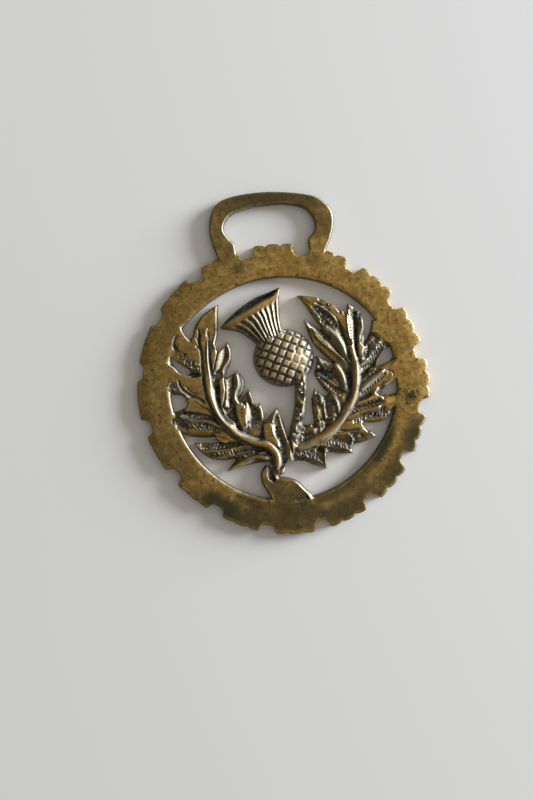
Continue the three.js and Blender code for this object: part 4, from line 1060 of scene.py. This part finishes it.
def patina_and_light_grids(field):
    """How hollow, proud, polished and sooty the casting is, and where it takes painted highlight and painted
    shade, over its plan.
    """
    solid = (field.cover > 0).astype(float)
    broad = field.height - blur(field.height, solid, BROAD_SPREAD)
    up, across = np.gradient(blur(field.height, solid, SLOPE_SPREAD), PITCH)
    # Slopes facing the light are positive and get the painted highlight; those facing away are negative and
    # get painted shade.
    side = -(across * math.cos(LIT_SIDE) + up * math.sin(LIT_SIDE)) * solid
    head = np.hypot((field.X - BULB_AT[0]) / BULB_RADII[0], (field.Y - BULB_AT[1]) / BULB_RADII[1])
    on_head = smoothstep(1.0, 0.95, head)
    head_polish = (HEAD_POLISH + HEAD_SHEEN_TILT * (field.X - 1)) * on_head
    on_ring = smoothstep(INNER - 1, INNER, np.hypot(field.X, field.Y))
    return {
        "fine": field.height - blur(field.height, solid, FINE_SPREAD),
        "broad": broad,
        "level": field.height + RING_LEVEL * on_ring,
        "soot_and_shade": field.soot_and_shade,
        "polish_and_sheen": np.maximum(CREST_POLISH * smoothstep(0.15, 0.8, broad), head_polish),
        "lit_slope_and_pale_head": np.maximum(np.maximum(0, side), HEAD_RISE * on_head),
        "painted_shade_side": np.maximum(0, -side) * (HEAD_LEE + (1 - HEAD_LEE) * smoothstep(0.9, 1.02, head)),
        "edge": np.clip(field.cover, 0, 3),
        "marks": streak_marks(field),
    }


def sample(field, grid, x, y):
    """Values of a grid at places, read between its samples."""
    u = np.clip((x - field.x[0]) / PITCH, 0, len(field.x) - 1.001)
    v = np.clip((y - field.y[0]) / PITCH, 0, len(field.y) - 1.001)
    iu, iv = u.astype(int), v.astype(int)
    fu, fv = u - iu, v - iv
    low, high = (grid[row, iu] * (1 - fu) + grid[row, iu + 1] * fu for row in (iv, iv + 1))
    return low * (1 - fv) + high * fv


def store_patina_and_light(field, mesh, co, shift):
    """Store the patina's and the painted light's grids on the mesh, as attributes for the material."""
    x, y = co[:, 0] / MM - shift[0], co[:, 1] / MM - shift[1]
    back = co[:, 2] < 0.05 * MM
    for name, grid in patina_and_light_grids(field).items():
        value = sample(field, grid, x, y)
        value[back] = PLAIN_BACK.get(name, 0.0)
        attribute = mesh.attributes.new(name, "FLOAT", "POINT")
        attribute.data.foreach_set("value", value.astype(np.float32))


# ---- Material nodes -----------------------------------------------------------------------------
class Nodes:
    """Short names for the nodes of one material."""

    def __init__(self, name):
        self.material = bpy.data.materials.new(name)
        self.material.use_nodes = True
        self.tree = self.material.node_tree
        self.tree.nodes.clear()

    def add(self, kind, inputs=(), **settings):
        """A node with its settings, and its inputs given as numbers, colours or other nodes' outputs."""
        node = self.tree.nodes.new(kind)
        for key, value in settings.items():
            setattr(node, key, value)
        for socket, value in inputs:
            if isinstance(value, bpy.types.NodeSocket):
                self.tree.links.new(value, node.inputs[socket])
            else:
                node.inputs[socket].default_value = value
        return node

    def math(self, kind, a, b, clamp=False):
        node = self.add("ShaderNodeMath", [(0, a), (1, b)], operation=kind, use_clamp=clamp)
        return node.outputs[0]

    def highest(self, *values, clamp=False):
        total = values[0]
        for value in values[1:]:
            total = self.math("MAXIMUM", total, value, clamp=clamp)
        return total

    def spread(self, value, low, high, out_low=0.0, out_high=1.0):
        """A smooth step between two outputs as the value goes from low to high."""
        inputs = [("Value", value), ("From Min", low), ("From Max", high), ("To Min", out_low),
                  ("To Max", out_high)]
        node = self.add("ShaderNodeMapRange", inputs, interpolation_type="SMOOTHSTEP")
        return node.outputs["Result"]

    def noise(self, where, size, detail, roughness):
        inputs = [("Vector", where), ("Scale", 1 / size), ("Detail", detail), ("Roughness", roughness)]
        return self.add("ShaderNodeTexNoise", inputs).outputs["Fac"]

    def mix(self, share, a, b):
        return self.add("ShaderNodeMix", [(0, share), (6, a), (7, b)], data_type="RGBA").outputs[2]

    def split(self, vector):
        node = self.add("ShaderNodeSeparateXYZ", [(0, vector)])
        return node.outputs

    def surface(self, *inputs):
        """End the material in a surface with these inputs."""
        shader = self.add("ShaderNodeBsdfPrincipled", inputs)
        self.add("ShaderNodeOutputMaterial", [("Surface", shader.outputs[0])])
        return self.material


# ---- Brass --------------------------------------------------------------------------------------
GOLD_DEEP = (0.47, 0.298, 0.080, 1)
GOLD_BRIGHT = (0.68, 0.452, 0.140, 1)
CLOUDED = (0.23, 0.140, 0.042, 1)
RUDDY = (0.36, 0.165, 0.048, 1)
GREENISH = (0.235, 0.215, 0.075, 1)
SPECK = (0.10, 0.065, 0.030, 1)
# Polish colour, also the painted highlight on the head's right side.
POLISH_AND_SHEEN = (0.78, 0.60, 0.31, 1)
OLIVE = (0.072, 0.068, 0.038, 1)
# Pale residue colour, laid mostly as a painted highlight on the slopes facing the light.
RESIDUE_AND_HIGHLIGHT = (0.62, 0.61, 0.56, 1)
# Colours of soot and of painted shade.
SHADE_AND_SOOT_DARK = (0.040, 0.042, 0.036, 1)
SHADE_AND_SOOT_PALE = (0.15, 0.16, 0.132, 1)
# Mottlings of the metal: size in metres, detail and roughness.
MOTTLINGS = {
    "cloud": (0.011, 4.0, 0.6), "mottle": (0.004, 5.0, 0.62), "specks": (0.0010, 4.0, 0.7),
    "grain": (0.0004, 3.0, 0.6), "streak": (0.009, 4.0, 0.65), "blotch": (0.0013, 2.0, 0.6),
    "rust": (0.0021, 3.0, 0.7), "verdigris": (0.0017, 3.0, 0.7),
}
# Where the flat metal is darker, in millimetres from the middle of the casting's box: a painted dim
# reflection at the foot, painted shade on the left, tarnish on the bar.
FOOT_TILT = 0.345         # the foot's dark area ends on a line that rises to the right by this
FOOT_DIM_REFLECTION = (-23.5, -29.0)
LEFT_PAINTED_SHADE = (10.0, -34.0)
BAR = (29.0, 39.0)
DRIFT = 5.0               # how far these bounds wander
# Dark stains on the ring, from the same middle: place, radius and depth.
STAINS = [
    ((32.4, -11.5), 2.1, 1.0), ((33.0, -9.0), 1.2, 0.5), ((-8.8, 25.6), 2.4, 0.7),
    ((-12.4, 28.0), 2.4, 0.45), ((1.8, -36.2), 3.2, 0.9), ((26.2, -21.0), 3.2, 0.5),
    ((10.2, 26.0), 2.6, 0.55), ((-20.5, -34.0), 4.5, 0.6),
]
RAGGED = 1.1              # how ragged a stain's edge is


def bare_brass(n, mottling):
    """Cloudy gold with ruddy and greenish stains and dark specks."""
    gold = n.mix(n.spread(mottling["mottle"], 0.36, 0.64), GOLD_DEEP, GOLD_BRIGHT)
    cloudy = n.mix(n.spread(mottling["blotch"], 0.38, 0.62, 0.5, 0.0), gold, CLOUDED)
    ruddy = n.mix(n.spread(mottling["rust"], 0.50, 0.66, 0.0, 0.6), cloudy, RUDDY)
    green = n.mix(n.spread(mottling["verdigris"], 0.52, 0.70, 0.0, 0.55), ruddy, GREENISH)
    return n.mix(n.spread(mottling["specks"], 0.55, 0.64, 0.0, 0.85), green, SPECK)


def age_and_painted_dimming(n, where, mottling):
    """How far the flat metal is darkened: most at the foot of the ring, a painted dim reflection broken by
    tarnish streaks, and on the hanger's bar, tarnish; less as painted shade on the left, and in stains.
    """
    x, y, _ = n.split(where)
    drift = n.spread(mottling["cloud"], 0.3, 0.7, -DRIFT * MM, DRIFT * MM)
    x, y = n.math("ADD", x, drift), n.math("ADD", y, drift)
    sloped = n.math("SUBTRACT", y, n.math("MULTIPLY", x, FOOT_TILT))
    # Painted dim reflection over the foot of the ring, broken by tarnish streaks.
    foot = n.math("MULTIPLY", n.spread(sloped, FOOT_DIM_REFLECTION[0] * MM, FOOT_DIM_REFLECTION[1] * MM),
                  n.spread(mottling["streak"], 0.3, 0.7, 0.95, 0.62))
    # Painted shade on the ring's left side, away from the light.
    left = n.spread(x, LEFT_PAINTED_SHADE[0] * MM, LEFT_PAINTED_SHADE[1] * MM, 0.0, 0.42)
    bar = n.spread(y, BAR[0] * MM, BAR[1] * MM, 0.1, 0.98)
    ragged = n.spread(mottling["specks"], 0.35, 0.65, -RAGGED * MM, RAGGED * MM)
    marks = []
    for (sx, sy), size, depth in STAINS:
        middle = (sx * MM, sy * MM, RING_TOP * MM)
        spot = n.add("ShaderNodeVectorMath", [(0, where), (1, middle)], operation="DISTANCE")
        away = n.math("ADD", spot.outputs["Value"], ragged)
        marks.append(n.spread(away, size * MM, 0.4 * size * MM, 0.0, depth))
    return n.highest(foot, left, bar, *marks)


def aged_brass():
    n = Nodes(SLOT)
    place = n.add("ShaderNodeTexCoord").outputs
    mottling = {name: n.noise(place["Object"], *settings) for name, settings in MOTTLINGS.items()}
    specks, grain = mottling["specks"], mottling["grain"]
    fine, broad, level, soot_and_shade, lit_slope_and_pale_head, painted_shade_side, edge, marks, polish_and_sheen = (
        n.add("ShaderNodeAttribute", attribute_name=name).outputs["Fac"]
        for name in ("fine", "broad", "level", "soot_and_shade", "lit_slope_and_pale_head", "painted_shade_side", "edge", "marks", "polish_and_sheen"))
    # Painted dimming and tarnish of the flat metal, less near the rubbed edges, lightened by the streaks.
    dimmed_and_aged = n.math("MULTIPLY", age_and_painted_dimming(n, place["Object"], mottling), n.spread(edge, 0.2, 1.2, 0.3, 1.0))
    dimmed_and_ageing = n.math("SUBTRACT", dimmed_and_aged, marks, clamp=True)
    metal = n.mix(dimmed_and_ageing, n.mix(polish_and_sheen, bare_brass(n, mottling), POLISH_AND_SHEEN), OLIVE)
    # Painted highlight: the slopes facing the light, and the head all over, turn pale with residue flecks.
    pale_residue_and_highlight = n.math("MULTIPLY", n.spread(lit_slope_and_pale_head, 0.2, 0.55), n.spread(specks, 0.3, 0.6, 0.45, 0.8))
    # Soot lies in the hollows and low down; painted shade darkens the low metal except on slopes facing the
    # light, and darkens the slopes facing away from it. Both lie hardly on the upright walls.
    hollow = n.spread(n.math("ADD", fine, n.math("MULTIPLY", broad, 0.1)), -0.04, -0.2, 0.0, 0.95)
    deep = n.math("MULTIPLY", n.spread(level, 2.8, 2.0, 0.0, 0.8), n.spread(lit_slope_and_pale_head, 0.2, 0.55, 1.0, 0.0))
    shaded = n.spread(painted_shade_side, 0.4, 1.1, 0.0, 0.6)
    most = n.highest(hollow, soot_and_shade, deep, shaded, clamp=True)
    facing_up = n.split(place["Normal"])["Z"]
    # Tarnish here holds soot and painted shade alike.
    tarnish = n.math("MULTIPLY", most, n.spread(facing_up, 0.05, 0.3, 0.3, 1.0))
    soot_and_shade_colour = n.mix(n.spread(specks, 0.45, 0.62), SHADE_AND_SOOT_DARK, SHADE_AND_SOOT_PALE)
    # The painted highlight is less metallic, so it stays white.
    highlight_less_metal = n.math("SUBTRACT", 1.0, n.math("MULTIPLY", pale_residue_and_highlight, 0.55))
    bump = n.add("ShaderNodeBump", [("Strength", 0.4), ("Distance", 0.1 * MM),
                                    ("Height", n.math("ADD", grain, specks))])
    return n.surface(
        ("Base Color", n.mix(tarnish, n.mix(pale_residue_and_highlight, metal, RESIDUE_AND_HIGHLIGHT), soot_and_shade_colour)),
        ("Metallic", n.math("MULTIPLY", n.spread(tarnish, 0.2, 1.0, 1.0, 0.25), highlight_less_metal)),
        ("Roughness", n.math("ADD", n.spread(grain, 0.3, 0.8, 0.36, 0.46),
                             n.spread(lit_slope_and_pale_head, 0.2, 0.7, 0.0, 0.14))),
        ("Normal", bump.outputs["Normal"]))


# ---- Stage --------------------------------------------------------------------------------------
LEAN = math.radians(5.2)          # how far the brass leans in the picture
VIEW_AT = (-4.79, -9.24)          # what the camera looks at, from the middle of the casting's box
VIEW_HEIGHT = 207.0               # how much the picture's height takes in
LENS = 60.0
SENSOR = 36.0
FLOOR_SIZE = 4                    # metres
FLOOR_GAP = 0.02                  # the floor lies this far under the brass
FLOOR_COLOR = (0.80, 0.795, 0.80, 1)
WINDOW_AZIMUTH = math.radians(16)
WINDOW_ELEVATION = math.radians(15)
WINDOW_DISTANCE = 1.6
WINDOW_SIZE = 0.8
WINDOW_POWER = 49
WINDOW_COLOR = (0.90, 0.96, 1.0)
ROOM_COLOR = (1.0, 0.95, 0.855, 1)
ROOM_BRIGHT_SIDE = (0.66, 0.16, 0.73)
ROOM_GLOW = (0.05, 0.6)           # on the dim side and on the bright one


def camera():
    data = bpy.data.cameras.new("camera")
    data.lens = LENS
    data.sensor_width = SENSOR
    data.clip_start = 0.01
    item = bpy.data.objects.new("camera", data)
    centre = (CAD_LOW + CAD_HIGH) / 2
    high = (VIEW_HEIGHT * LENS / SENSOR + RING_TOP) * MM
    item.location = (centre.x + VIEW_AT[0] * MM, centre.y + VIEW_AT[1] * MM, high)
    item.rotation_euler = (0, 0, -LEAN)
    bpy.context.collection.objects.link(item)
    bpy.context.scene.camera = item


def window():
    """A low, large window on the right, the brass's main light."""
    data = bpy.data.lights.new("window", "AREA")
    data.shape = "DISK"
    data.size = WINDOW_SIZE
    data.energy = WINDOW_POWER
    data.color = WINDOW_COLOR
    item = bpy.data.objects.new("window", data)
    level = math.cos(WINDOW_ELEVATION)
    way = Vector((level * math.cos(WINDOW_AZIMUTH), level * math.sin(WINDOW_AZIMUTH),
                  math.sin(WINDOW_ELEVATION)))
    item.location = way * WINDOW_DISTANCE
    item.rotation_euler = way.to_track_quat("Z", "Y").to_euler()
    bpy.context.collection.objects.link(item)


def room():
    """A pale room, brighter on the window's side and dim low on the other."""
    world = bpy.data.worlds.new("studio")
    world.use_nodes = True
    tree = world.node_tree
    where = tree.nodes.new("ShaderNodeTexCoord")
    facing = tree.nodes.new("ShaderNodeVectorMath")
    facing.operation = "DOT_PRODUCT"
    facing.inputs[1].default_value = ROOM_BRIGHT_SIDE
    glow = tree.nodes.new("ShaderNodeMapRange")
    for name, number in zip(("From Min", "From Max", "To Min", "To Max"), (-0.3, 1.0, *ROOM_GLOW)):
        glow.inputs[name].default_value = number
    background = tree.nodes["Background"]
    background.inputs["Color"].default_value = ROOM_COLOR
    tree.links.new(where.outputs["Generated"], facing.inputs[0])
    tree.links.new(facing.outputs["Value"], glow.inputs["Value"])
    tree.links.new(glow.outputs["Result"], background.inputs["Strength"])
    bpy.context.scene.world = world


def floor():
    bpy.ops.mesh.primitive_plane_add(size=FLOOR_SIZE, location=(0, 0, -FLOOR_GAP * MM))
    plane = bpy.context.object
    plane.name = "floor"
    paint = Nodes("floor_paint").surface(("Base Color", FLOOR_COLOR), ("Roughness", 0.6))
    plane.data.materials.append(paint)


camera()
floor()
window()
room()
bpy.context.scene.view_settings.view_transform = "Standard"

brass = casting()
brass.data.materials.append(aged_brass())
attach(brass, "root")
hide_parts(CASTING)
